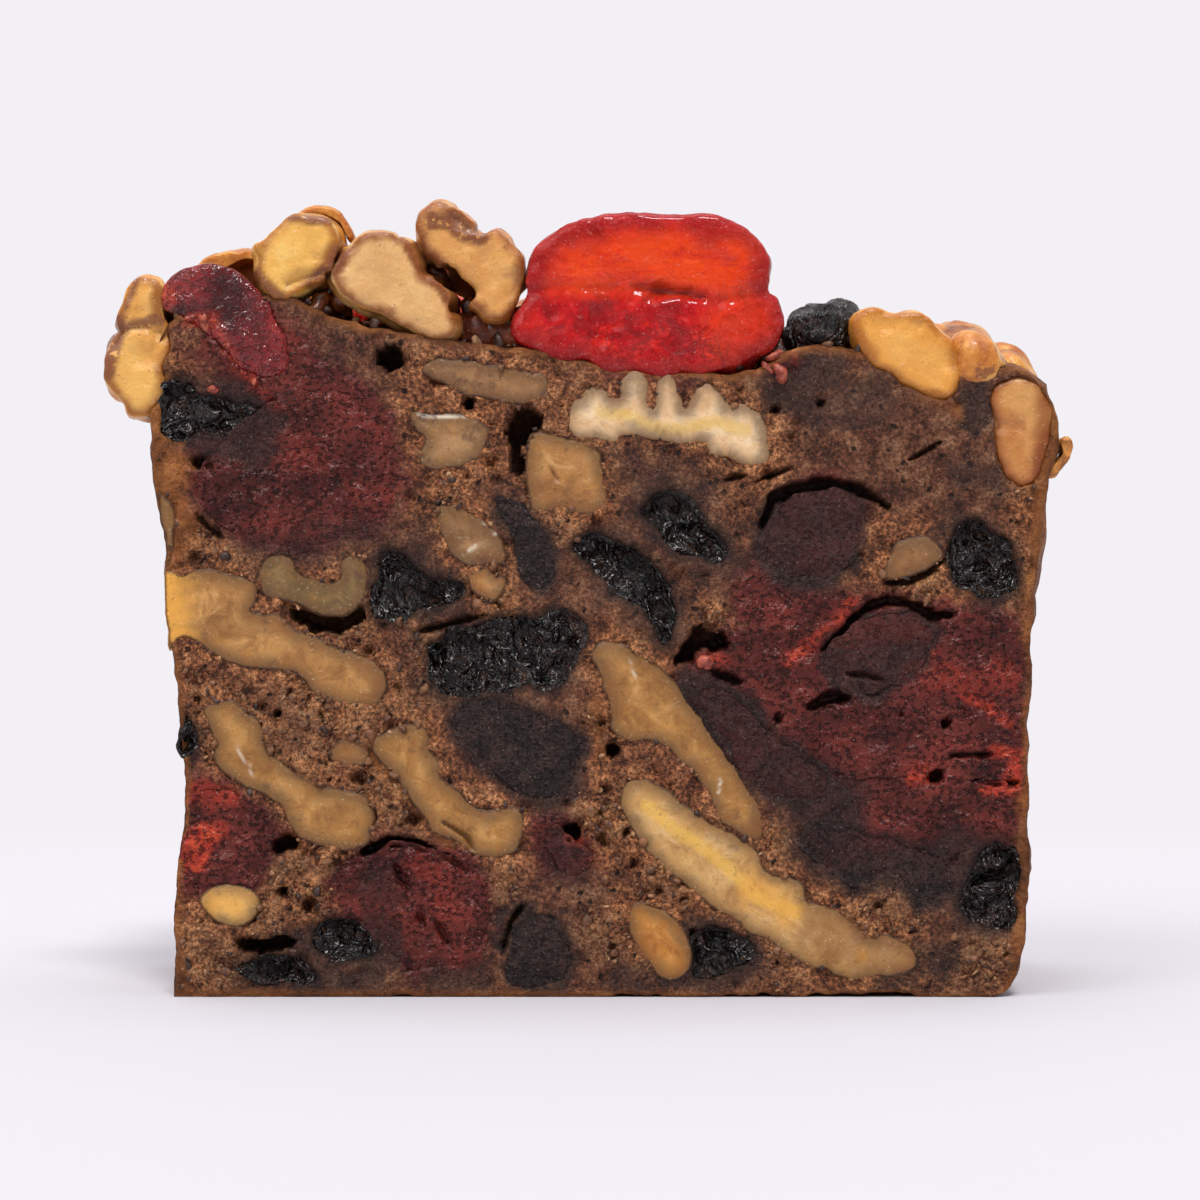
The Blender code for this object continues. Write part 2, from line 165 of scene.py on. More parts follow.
def scattered(points: np.ndarray, pitch: float, seed: int) -> tuple[np.ndarray, np.ndarray]:
    """Distance to the nearest of many scattered spots.

    Args:
        points: Places, shape (n, 3).
        pitch: Mean distance between spots.
        seed: Picks other spots.

    Returns:
        The distance as a share of the pitch, and the nearest spot's own value from 0 to 1.
    """
    scaled = points / pitch
    base = np.floor(scaled).astype(np.int64)
    nearest, own = np.full(len(points), np.inf), np.zeros(len(points))
    for offset in itertools.product((-1, 0, 1), repeat=3):
        cell = base + np.array(offset)
        spot = cell + np.stack([hashed(cell, seed + k) for k in range(3)], axis=1)
        gap = np.linalg.norm(scaled - spot, axis=1)
        closer = gap < nearest
        nearest[closer] = gap[closer]
        own[closer] = hashed(cell[closer], seed + 3)
    return nearest, own


def seed_of(name: str) -> int:
    """The number that picks a piece's own noise."""
    return sum(map(ord, name)) * 13


# ---------------------------------------------------------------------------------------------
# Outlines in a cut face
# ---------------------------------------------------------------------------------------------


def pairs(corners: Union[Corners, np.ndarray]) -> np.ndarray:
    """Corners as an array with one row (x, z) for each."""
    return np.array(corners, float).reshape(-1, 2)


def at(points: np.ndarray, depth: Numbers) -> np.ndarray:
    """Places (x, z) set in space at a depth in Y."""
    return np.insert(points, 1, depth, axis=1)


def edge_steps(count: int) -> np.ndarray:
    """For each number in a row, how many steps it is from the nearer end."""
    return np.minimum(np.arange(count), np.arange(count)[::-1])


def curved(corners: np.ndarray, steps: int) -> np.ndarray:
    """Points of a smooth line through corners.

    Args:
        corners: Corners (x, z), with one more before the start and one after the end.
        steps: Number of points for each stretch between two corners.

    Returns:
        Points (x, z), without the one at the end.
    """
    share = np.linspace(0.0, 1.0, steps, endpoint=False)[:, None]
    runs = []
    for a, b, c, d in zip(corners, corners[1:], corners[2:], corners[3:]):
        bend = 2 * a - 5 * b + 4 * c - d
        twist = 3 * b - a - 3 * c + d
        runs.append(0.5 * (2 * b + (c - a) * share + bend * share**2 + twist * share**3))
    return np.vstack(runs)


def even(line: np.ndarray, closed: bool, count: int = 0, spacing: float = 1.0) -> np.ndarray:
    """Points at equal distances along a line.

    Args:
        line: The line's points (x, z).
        closed: Whether it runs back to its start.
        count: Number of points wanted, or 0 to go by the spacing.
        spacing: Distance wanted between points. There are at least 12 of them.

    Returns:
        Points (x, z).
    """
    line = np.vstack([line, line[:1]]) if closed else line
    travelled = np.r_[0.0, np.cumsum(np.linalg.norm(np.diff(line, axis=0), axis=1))]
    count = count or max(12, round(travelled[-1] / spacing))
    wanted = np.linspace(0.0, travelled[-1], count, endpoint=not closed)
    return np.stack([np.interp(wanted, travelled, line[:, k]) for k in range(2)], axis=1)


def smooth_line(corners: Corners, count: int) -> np.ndarray:
    """Points at equal distances along a smooth open line.

    Args:
        corners: The points that the line runs through.
        count: Number of points wanted.

    Returns:
        Points, shape (count, 2).
    """
    known = pairs(corners)
    padded = np.vstack([2 * known[0] - known[1], known, 2 * known[-1] - known[-2]])
    return even(np.vstack([curved(padded, 24), known[-1:]]), False, count)


def followed(points: np.ndarray, corners: Corners) -> tuple[np.ndarray, np.ndarray]:
    """Where points lie beside an open line.

    Args:
        points: Places (x, z), shape (n, 2).
        corners: The line's corners, or a single one.

    Returns:
        The distance from the line, and how far along it the nearest place is, from 0 to 1.
    """
    nearest, along = np.full(len(points), 99.0), np.zeros(len(points))
    line = pairs(corners)
    starts, ends = (line[:-1], line[1:]) if len(line) > 1 else (line, line)
    for k, (a, b) in enumerate(zip(starts, ends)):
        edge = b - a
        share = np.clip((points - a) @ edge / max(edge @ edge, 1e-9), 0.0, 1.0)
        gap = np.linalg.norm(points - a - share[:, None] * edge, axis=1)
        closer = gap < nearest
        nearest[closer] = gap[closer]
        along[closer] = (k + share[closer]) / len(starts)
    return nearest, along


@dataclass
class Outline:
    """A closed line in a cut face, counter-clockwise seen from the front.

    Attributes:
        corners: Its corners (x, z), shape (n, 2).
    """

    corners: np.ndarray

    @classmethod
    def turned(cls, line: np.ndarray) -> "Outline":
        """The outline along a closed line, whichever way round that runs."""
        ahead = np.roll(line, -1, axis=0)
        area = np.sum(line[:, 0] * ahead[:, 1] - ahead[:, 0] * line[:, 1])
        return cls(line if area > 0 else line[::-1])

    @classmethod
    def through(cls, corners: Union[Corners, np.ndarray]) -> "Outline":
        """The smooth outline through some corners."""
        known = cls.turned(pairs(corners)).corners
        return cls(curved(np.vstack([known[-1:], known, known[:2]]), 12))

    def rounded(self, passes: int = 3) -> "Outline":
        """The outline with its corners cut off again and again, which makes them round.

        Args:
            passes: How often they are cut off.

        Returns:
            The rounder outline.
        """
        line = self.corners
        for _ in range(passes):
            ahead = np.roll(line, -1, axis=0)
            line = np.stack([0.75 * line + 0.25 * ahead, 0.25 * line + 0.75 * ahead], axis=1)
            line = line.reshape(-1, 2)
        return Outline(line)

    def spaced(self, spacing: float) -> "Outline":
        """The outline with corners at equal distances, about spacing apart."""
        return Outline(even(self.corners, True, spacing=spacing))

    def sized(self, size: float) -> "Outline":
        """The outline made larger or smaller round its middle."""
        middle = self.corners.mean(axis=0)
        return Outline(middle + (self.corners - middle) * size)

    def normals(self) -> np.ndarray:
        """Unit vectors that point out of the outline at its corners, shape (n, 2)."""
        along = np.roll(self.corners, -1, axis=0) - np.roll(self.corners, 1, axis=0)
        along /= np.maximum(np.linalg.norm(along, axis=1, keepdims=True), 1e-9)
        return np.stack([along[:, 1], -along[:, 0]], axis=1)

    def moved_out(self, distance: Numbers) -> "Outline":
        """The outline with its corners moved out along their normals."""
        return Outline(self.corners + self.normals() * np.reshape(distance, (-1, 1)))

    def roughened(self, reach: float, pitch: float, seed: int) -> "Outline":
        """The outline with noise of the given reach and pitch added to it."""
        return self.moved_out(reach * fractal(at(self.corners, 0.0), pitch, 3, seed))

    def like(self, other: "Outline") -> "Outline":
        """The outline laid out like another.

        Args:
            other: The outline that gives the number of corners and where they start.

        Returns:
            The outline with corners as near the other's as can be.
        """
        line = even(self.corners, True, len(other.corners))
        centred, target = line - line.mean(axis=0), other.corners - other.corners.mean(axis=0)
        turns = [np.sum((np.roll(centred, -k, axis=0) - target) ** 2) for k in range(len(line))]
        return Outline(np.roll(line, -int(np.argmin(turns)), axis=0))

    def distance(self, points: np.ndarray, limit: float = 9.0) -> np.ndarray:
        """Signed distance of points to the outline, negative inside.

        Args:
            points: Places (x, z), shape (n, 2).
            limit: Points further than this from the outline's box just get this distance.

        Returns:
            One distance for each point.
        """
        low, high = self.corners.min(axis=0) - limit, self.corners.max(axis=0) + limit
        near = np.all((points > low) & (points < high), axis=1)
        result = np.full(len(points), limit)
        if near.any():
            result[near] = np.minimum(self._exact_distance(points[near]), limit)
        return result

    def _exact_distance(self, points: np.ndarray) -> np.ndarray:
        """Signed distance of points to the outline, worked out edge by edge.

        Args:
            points: Places (x, z), shape (n, 2).

        Returns:
            One distance for each point, negative inside.
        """
        nearest = np.full(len(points), np.inf)
        inside = np.zeros(len(points), bool)
        for a, b in zip(self.corners, np.roll(self.corners, -1, axis=0)):
            edge, to_point = b - a, points - a
            share = np.clip(to_point @ edge / max(edge @ edge, 1e-12), 0.0, 1.0)
            gap = np.sum((to_point - share[:, None] * edge) ** 2, axis=1)
            nearest = np.minimum(nearest, gap)
            if a[1] != b[1]:
                crosses = (a[1] > points[:, 1]) != (b[1] > points[:, 1])
                meets = a[0] + (points[:, 1] - a[1]) * (b[0] - a[0]) / (b[1] - a[1])
                inside ^= crosses & (points[:, 0] < meets)
        return np.where(inside, -1.0, 1.0) * np.sqrt(nearest)


def cut_outline(node: bpy.types.Object, plane: float) -> Optional[Outline]:
    """The outline that a solid shows in a cut face.

    Args:
        node: A solid of the frame.
        plane: The cut face's place in Y.

    Returns:
        The largest closed edge of the solid's flat face there, or None if it has no such face.
    """
    places = points_of(node.data)
    _, first, merged = np.unique(
        np.round(places, 2), axis=0, return_index=True, return_inverse=True
    )
    merged = merged.reshape(-1)
    directed = set()
    for polygon in node.data.polygons:
        ring = [int(merged[v]) for v in polygon.vertices]
        if all(abs(places[v][1] - plane) < 0.02 for v in polygon.vertices):
            directed.update(zip(ring, ring[1:] + ring[:1]))
    follows = {a: b for a, b in directed if (b, a) not in directed}
    loops = []
    while follows:
        start = next(iter(follows))
        here, loop = follows.pop(start), [start]
        while here != start and here in follows:
            loop.append(here)
            here = follows.pop(here)
        loops.append(places[first[loop]][:, [0, 2]])
    return Outline.turned(max(loops, key=len)) if loops else None


# ---------------------------------------------------------------------------------------------
# Meshes
# ---------------------------------------------------------------------------------------------


def points_of(mesh: bpy.types.Mesh) -> np.ndarray:
    """A mesh's points in mm, shape (n, 3)."""
    points = np.empty(len(mesh.vertices) * 3)
    mesh.vertices.foreach_get("co", points)
    return points.reshape(-1, 3) / MM


def linked(name: str, data: Optional[bpy.types.ID]) -> bpy.types.Object:
    """A new object with the data given, in the scene."""
    made = bpy.data.objects.new(name, data)
    bpy.context.scene.collection.objects.link(made)
    return made


class Draft:
    """A mesh in the making: points in mm, faces, and measures that materials read.

    Attributes:
        points: Lists of points, one array for each part that was added.
        faces: Faces as tuples of point numbers.
        measures: For each measure's name, its values, one array for each part.
        count: Number of points so far.
    """

    def __init__(self, *measures: str) -> None:
        """Starts an empty mesh with the named measures."""
        self.points: list[np.ndarray] = []
        self.faces: list[tuple[int, ...]] = []
        self.measures: dict[str, list[np.ndarray]] = {name: [] for name in measures}
        self.count = 0

    def add(self, points: np.ndarray, **measures: Numbers) -> np.ndarray:
        """Adds points.

        Args:
            points: Places, shape (n, 3).
            measures: Their measures. One that isn't given is 0.

        Returns:
            The points' numbers.
        """
        self.points.append(np.asarray(points, float))
        for name, values in self.measures.items():
            given = np.asarray(measures.get(name, 0.0), float)
            values.append(np.broadcast_to(given, (len(points),)))
        self.count += len(points)
        return np.arange(self.count - len(points), self.count)

    def fill(self, faces: np.ndarray, turned: bool = False) -> None:
        """Adds faces, an array of point numbers with one row for each face."""
        self.faces.extend(map(tuple, (faces[:, ::-1] if turned else faces).tolist()))

    def bridge(self, near: np.ndarray, far: np.ndarray) -> np.ndarray:
        """Joins two closed rings of points with faces.

        Args:
            near: Numbers of the ring's points nearer the front.
            far: Numbers of the other ring's points, as many or half as many.

        Returns:
            The far ring.
        """
        near_next, far_next = np.roll(near, -1), np.roll(far, -1)
        if len(near) == len(far):
            self.fill(np.stack([near, far, far_next, near_next], axis=1))
            return far
        even_ones, odd, after = near[::2], near[1::2], np.roll(near, -2)[::2]
        self.fill(np.stack([even_ones, far, odd], axis=1))
        self.fill(np.stack([odd, far, far_next, after], axis=1))
        return far

    def cap(
        self, outline: Outline, spacing: float, depth: float, turned: bool, **measures: Numbers
    ) -> np.ndarray:
        """Adds a flat end.

        Args:
            outline: The end's outline.
            spacing: Distance between the points inside.
            depth: Its place in Y.
            turned: Whether it faces away from the front.
            measures: Its measures.

        Returns:
            The numbers of its rim.
        """
        points, triangles = filled(outline, spacing)
        numbers = self.add(at(points, depth), **measures)
        self.fill(numbers[triangles], turned)
        return numbers[: len(outline.corners)]

    def body(self, sections: Sequence[Outline], depths: np.ndarray, spacing: float,
             **measures: Numbers) -> None:
        """Adds a closed body.

        Args:
            sections: Its outlines, all with as many corners.
            depths: Their places in Y.
            spacing: Distance between the points of its flat ends.
            measures: Its measures.
        """
        ring = self.cap(sections[0], spacing, depths[0], False, **measures)
        for section, depth in zip(sections[1:-1], depths[1:-1]):
            ring = self.bridge(ring, self.add(at(section.corners, depth), **measures))
        self.bridge(ring, self.cap(sections[-1], spacing, depths[-1], True, **measures))

    def made(self, name: str) -> bpy.types.Object:
        """Makes the smooth-shaded object and links it to the scene.

        Args:
            name: Its name.

        Returns:
            The finished object.
        """
        mesh = bpy.data.meshes.new(name)
        mesh.from_pydata((np.vstack(self.points) * MM).tolist(), [], self.faces)
        mesh.update()
        for measure, values in self.measures.items():
            attribute = mesh.attributes.new(measure, "FLOAT", "POINT")
            attribute.data.foreach_set("value", np.concatenate(values).astype(np.float32))
        mesh.shade_smooth()
        return linked(name, mesh)


def grid_numbers(numbers: np.ndarray, columns: int, rows: int) -> tuple[np.ndarray, np.ndarray]:
    """Faces and edge of a grid of points.

    Args:
        numbers: The points' numbers, row by row from the bottom left.
        columns: Number of faces across.
        rows: Number of faces up.

    Returns:
        The faces, and the numbers round the edge from the bottom left, counter-clockwise.
    """
    grid = numbers.reshape(rows + 1, columns + 1)
    faces = np.stack([grid[:-1, :-1], grid[:-1, 1:], grid[1:, 1:], grid[1:, :-1]], axis=-1)
    edge = np.concatenate([grid[0, :-1], grid[:-1, -1], grid[-1, :0:-1], grid[:0:-1, 0]])
    return faces.reshape(-1, 4), edge


def patch(bottom: np.ndarray, right: np.ndarray, top: np.ndarray, left: np.ndarray) -> np.ndarray:
    """Points of a grid that fills four border lines.

    Args:
        bottom: Border from left to right, shape (columns + 1, 2).
        right: Border from bottom to top, shape (rows + 1, 2).
        top: Border from left to right.
        left: Border from bottom to top.

    Returns:
        Points row by row from the bottom left, shape ((rows + 1) * (columns + 1), 2).
    """
    u = np.linspace(0.0, 1.0, len(bottom))[None, :, None]
    v = np.linspace(0.0, 1.0, len(left))[:, None, None]
    across = (1 - u) * left[:, None] + u * right[:, None]
    upward = (1 - v) * bottom[None] + v * top[None]
    corners = (1 - v) * ((1 - u) * bottom[0] + u * bottom[-1])
    corners = corners + v * ((1 - u) * top[0] + u * top[-1])
    return (across + upward - corners).reshape(-1, 2)


def filled(outline: Outline, spacing: float) -> tuple[np.ndarray, np.ndarray]:
    """Triangles that fill an outline, with the outline's own corners first.

    Args:
        outline: The outline, its corners about spacing apart.
        spacing: Distance between the points inside.

    Returns:
        Points (x, z), and triangles counter-clockwise.
    """
    rim = outline.corners
    inner = outline.moved_out(-0.45 * spacing).spaced(spacing * 1.1).corners
    low, high = rim.min(axis=0), rim.max(axis=0)
    middle = pairs([
        (x, z) for k, z in enumerate(np.arange(low[1], high[1], spacing * 0.866))
        for x in np.arange(low[0] + (k % 2) * spacing / 2, high[0], spacing)
    ])
    middle = middle[outline.distance(middle) < -1.1 * spacing]
    inner = inner[outline.distance(inner) < -0.3 * spacing]
    known = np.vstack([rim, inner, middle])
    points, _, faces, origins, _, _ = delaunay_2d_cdt(
        [Vector(p) for p in known], [], [list(range(len(rim)))], 1, 1e-4
    )
    number = {source: made for made, sources in enumerate(origins) for source in sources}
    order = [number[k] for k in range(len(rim))]
    taken = set(order)
    order += [k for k in range(len(points)) if k not in taken]
    place = {made: k for k, made in enumerate(order)}
    spread = np.array([tuple(points[k]) for k in order])
    triangles = np.array([[place[v] for v in face] for face in faces if len(face) == 3])
    a, b, c = (spread[triangles[:, k]] for k in range(3))
    turns = (b[:, 0] - a[:, 0]) * (c[:, 1] - a[:, 1]) - (b[:, 1] - a[:, 1]) * (c[:, 0] - a[:, 0])
    triangles[turns < 0] = triangles[turns < 0][:, ::-1]
    return spread, triangles


# ---------------------------------------------------------------------------------------------
# Materials
# ---------------------------------------------------------------------------------------------


def linear(hex_code: str) -> tuple[float, ...]:
    """An sRGB hex colour as linear red, green, blue and alpha."""
    channels = [int(hex_code[i : i + 2], 16) / 255 for i in (1, 3, 5)]
    return *(c / 12.92 if c <= 0.04045 else ((c + 0.055) / 1.055) ** 2.4 for c in channels), 1.0


class Paint:
    """A node tree in the making.

    Attributes:
        tree: The node tree.
        mm: The place on the object in millimetres, which every pattern reads.
    """

    def __init__(self, tree: bpy.types.NodeTree) -> None:
        """Starts from an empty tree."""
        tree.nodes.clear()
        self.tree = tree
        self.mm: Optional[Socket] = None

    def add(
        self,
        kind: str,
        inputs: Optional[dict[Union[str, int], Value]] = None,
        output: Optional[str] = None,
        stops: Sequence[tuple[float, Union[str, float]]] = (),
        **settings: object,
    ) -> Optional[Socket]:
        """Adds a node with its settings and links.

        Args:
            kind: The node's type name, without ShaderNode.
            inputs: Values or sockets for its inputs. A text is a hex colour, and a pattern
                without a Vector reads the place in millimetres.
            output: Name of the output wanted.
            stops: For a colour ramp, places with a hex colour or a grey level.
            settings: The node's own properties.

        Returns:
            The named output, or else the first that is in use. None for a node without outputs.
        """
        node = self.tree.nodes.new("ShaderNode" + kind)
        for name, value in settings.items():
            setattr(node, name, value)
        known = {"Vector": self.mm} if kind in ("TexNoise", "TexVoronoi") else {}
        for key, value in {**known, **(inputs or {})}.items():
            if isinstance(value, Socket):
                self.tree.links.new(value, node.inputs[key])
            else:
                node.inputs[key].default_value = linear(value) if isinstance(value, str) else value
        for k, (place, level) in enumerate(stops):
            elements = node.color_ramp.elements
            element = elements[k] if k < 2 else elements.new(place)
            element.position = place
            element.color = linear(level) if isinstance(level, str) else (level,) * 3 + (1.0,)
        if output:
            return node.outputs[output]
        return next((socket for socket in node.outputs if socket.enabled), None)

    def specks(
        self, size: float, start: float, full: float, detail: float = 3.0,
        place: Optional[Socket] = None,
    ) -> Socket:
        """Mask of scattered specks or blotches.

        Args:
            size: Size of the blotches in mm.
            start: Level from 0 to 1 of the noise behind them where a blotch starts.
            full: Level where it is full. Below start, the noise's troughs are taken.
            detail: Number of finer layers that break up the blotches' edges.
            place: Place in mm, if the pattern is drawn out.

        Returns:
            The mask, from 0 to 1.
        """
        noise = self.add("TexNoise", {"Vector": place or self.mm, "Scale": 1 / size,
                                      "Detail": detail, "Roughness": 0.66})
        return self.add("MapRange", {0: noise, 1: start, 2: full})

    def product(self, *factors: Union[float, Socket]) -> Socket:
        """The product of masks and numbers."""
        result = factors[0]
        for factor in factors[1:]:
            result = self.add("Math", {0: result, 1: factor}, operation="MULTIPLY")
        return result

    def coats(self, base: Value, *layers: tuple[Value, ...]) -> Socket:
        """Colours painted over one another.

        Args:
            base: The lowest colour.
            layers: For each layer its colour and the masks and shares that it is held back
                by, from the lowest up.

        Returns:
            The colour.
        """
        for colour, *masks in layers:
            mask = self.product(*masks)
            base = self.add("Mix", {0: mask, 6: base, 7: colour}, data_type="RGBA")
        return base

    def raised(self, ground: Socket, *layers: tuple[Socket, Socket]) -> Socket:
        """Heights laid over a ground height, each with its mask."""
        for height, mask in layers:
            ground = self.add("Mix", {0: mask, 2: ground, 3: height}, data_type="FLOAT")
        return ground

    def measured(self, *names: str) -> dict[str, Socket]:
        """The measures that the mesh carries, by name."""
        return {name: self.add("Attribute", output="Fac", attribute_name=name) for name in names}

    def surface(
        self, colour: Value, height: Socket, depth: float, strength: float = 1.0, **inputs: Value
    ) -> Socket:
        """A surface with relief.

        Args:
            colour: Its colour.
            height: Its relief.
            depth: How many mm a height of 1 stands for.
            strength: How much of the relief shows, from 0 to 1.
            inputs: The shader's other inputs, with _ for each space in their names.

        Returns:
            The shader.
        """
        bump = self.add("Bump", {"Height": height, "Strength": strength, "Distance": depth * MM})
        named = {name.replace("_", " "): value for name, value in inputs.items()}
        return self.add("BsdfPrincipled", {"Base Color": colour, "Normal": bump, **named})


@dataclass(frozen=True)
class Finish:
    """A finish that pieces can wear, with its material's name."""

    name: str

    def material(self) -> bpy.types.Material:
        """Makes the material, or gives the one that was made before."""
        known = bpy.data.materials.get(self.name)
        if known:
            return known
        made = bpy.data.materials.new(self.name)
        made.use_nodes = True
        paint = Paint(made.node_tree)
        place = paint.add("TexCoord", output="Object")
        paint.mm = paint.add("Mapping", {"Vector": place, "Scale": (1 / MM,) * 3})
        paint.add("OutputMaterial", {"Surface": self.shader(paint)})
        return made

    def shader(self, paint: Paint) -> Socket:
        """Fills the node tree.

        Args:
            paint: The material in the making.

        Returns:
            The shader's output.
        """
        raise NotImplementedError


@dataclass(frozen=True)
class CherryTones:
    """Colours of soaked cherry flesh, from its deepest to its brightest places.

    The grain says how strongly its pits and specks show, from 0 to 1. The colour of the pits is
    painted shade; the pale specks are painted glints, and their share says how strongly they show.
    """

    # Painted shade in the pits.
    pit_shade: str = "#160605"
    deep: str = "#3a1310"
    mid: str = "#58231d"
    bright: str = "#702c24"
    blaze: str = "#942d1f"
    blaze_light: str = "#bb472c"
    # Share of the pale specks, which are painted glints.
    painted_glint: float = 0.4
    grain: float = 1.0


@dataclass(frozen=True)
class PruneTones:
    """Colours of cut prune, from its pits, painted dark as painted shade, to its driest places."""

    # Painted shade in the pits.
    pit_shade: str = "#0e0706"
    deep: str = "#180e0d"
    mid: str = "#271917"
    light: str = "#402a24"


def soaked_flesh(paint: Paint, tones: CherryTones, red: Socket) -> tuple[Socket, Socket]:
    """Cherry flesh dragged by the knife: soft patches of tone, small pits painted dark as painted
    shade, and pale specks painted as wet glints.

    Args:
        paint: A material in the making.
        tones: The colours.
        red: Mask of the places where bright red flesh shows.

    Returns:
        The colour, and the height in mm.
    """
    patches = paint.add("TexNoise", {"Scale": 1 / 4.5, "Detail": 3.0})
    flesh = paint.add("ValToRGB", {"Fac": patches},
                      stops=((0.34, tones.deep), (0.52, tones.mid), (0.7, tones.bright)))
    # Pits 0.4 mm across, a third wider than high, because the blade drew them out sideways.
    drawn = paint.add("Mapping", {"Vector": paint.mm, "Rotation": (0.0, math.radians(8), 0.0),
                                  "Scale": (0.85, 1.0, 1.15)})
    pits = paint.specks(0.42, 0.47, 0.38, 3.0, drawn)
    # The pits are painted dark as painted shade, and the pale pink specks are painted glints.
    colour = paint.coats(
        flesh, (tones.blaze, red),
        (tones.blaze_light, red, red, paint.specks(0.9, 0.48, 0.6)),
        (tones.pit_shade, pits, 0.75 * tones.grain),
        ("#84443d", paint.specks(0.3, 0.57, 0.68), 0.4 * tones.grain),
        ("#b79c98", paint.specks(0.22, 0.65, 0.72, 2.0), tones.painted_glint),
    )
    waves = paint.add("TexNoise", {"Scale": 1 / 2.2, "Detail": 4.0, "Roughness": 0.55})
    return colour, paint.add("Math", {0: pits, 1: -0.18, 2: waves}, operation="MULTIPLY_ADD")


def prune_paste(paint: Paint, tones: PruneTones) -> tuple[Socket, Socket]:
    """Fine brown-black paste with strokes where the knife dragged it.

    Args:
        paint: A material in the making.
        tones: The colours.

    Returns:
        The colour, and the height in mm.
    """
    drawn = paint.add("Mapping", {"Vector": paint.mm, "Rotation": (0.0, math.radians(-25), 0.0),
                                  "Scale": (0.9, 1.0, 1.1)})
    clouds = paint.add("TexNoise", {"Vector": drawn, "Scale": 1 / 1.6, "Detail": 7.0,
                                    "Roughness": 0.7})
    base = paint.add("ValToRGB", {"Fac": clouds},
                     stops=((0.38, tones.deep), (0.52, tones.mid), (0.68, tones.light)))
    pits = paint.specks(0.34, 0.46, 0.36, 3.0, drawn)
    # The pits are painted dark as painted shade.
    colour = paint.coats(base, (tones.pit_shade, pits, 0.7),
                         ("#5a443b", paint.specks(0.32, 0.58, 0.68), 0.4),
                         ("#a39287", paint.specks(0.2, 0.65, 0.72, 2.0), 0.45))
    height = paint.product(clouds, 0.5)
    return colour, paint.add("Math", {0: pits, 1: -0.12, 2: height}, operation="MULTIPLY_ADD")


CRUMB_MEASURES = (
    "stain", "dusk", "shade", "pale", "warm", "crust", "hollow", "line", "syrup", "red", "clump",
)


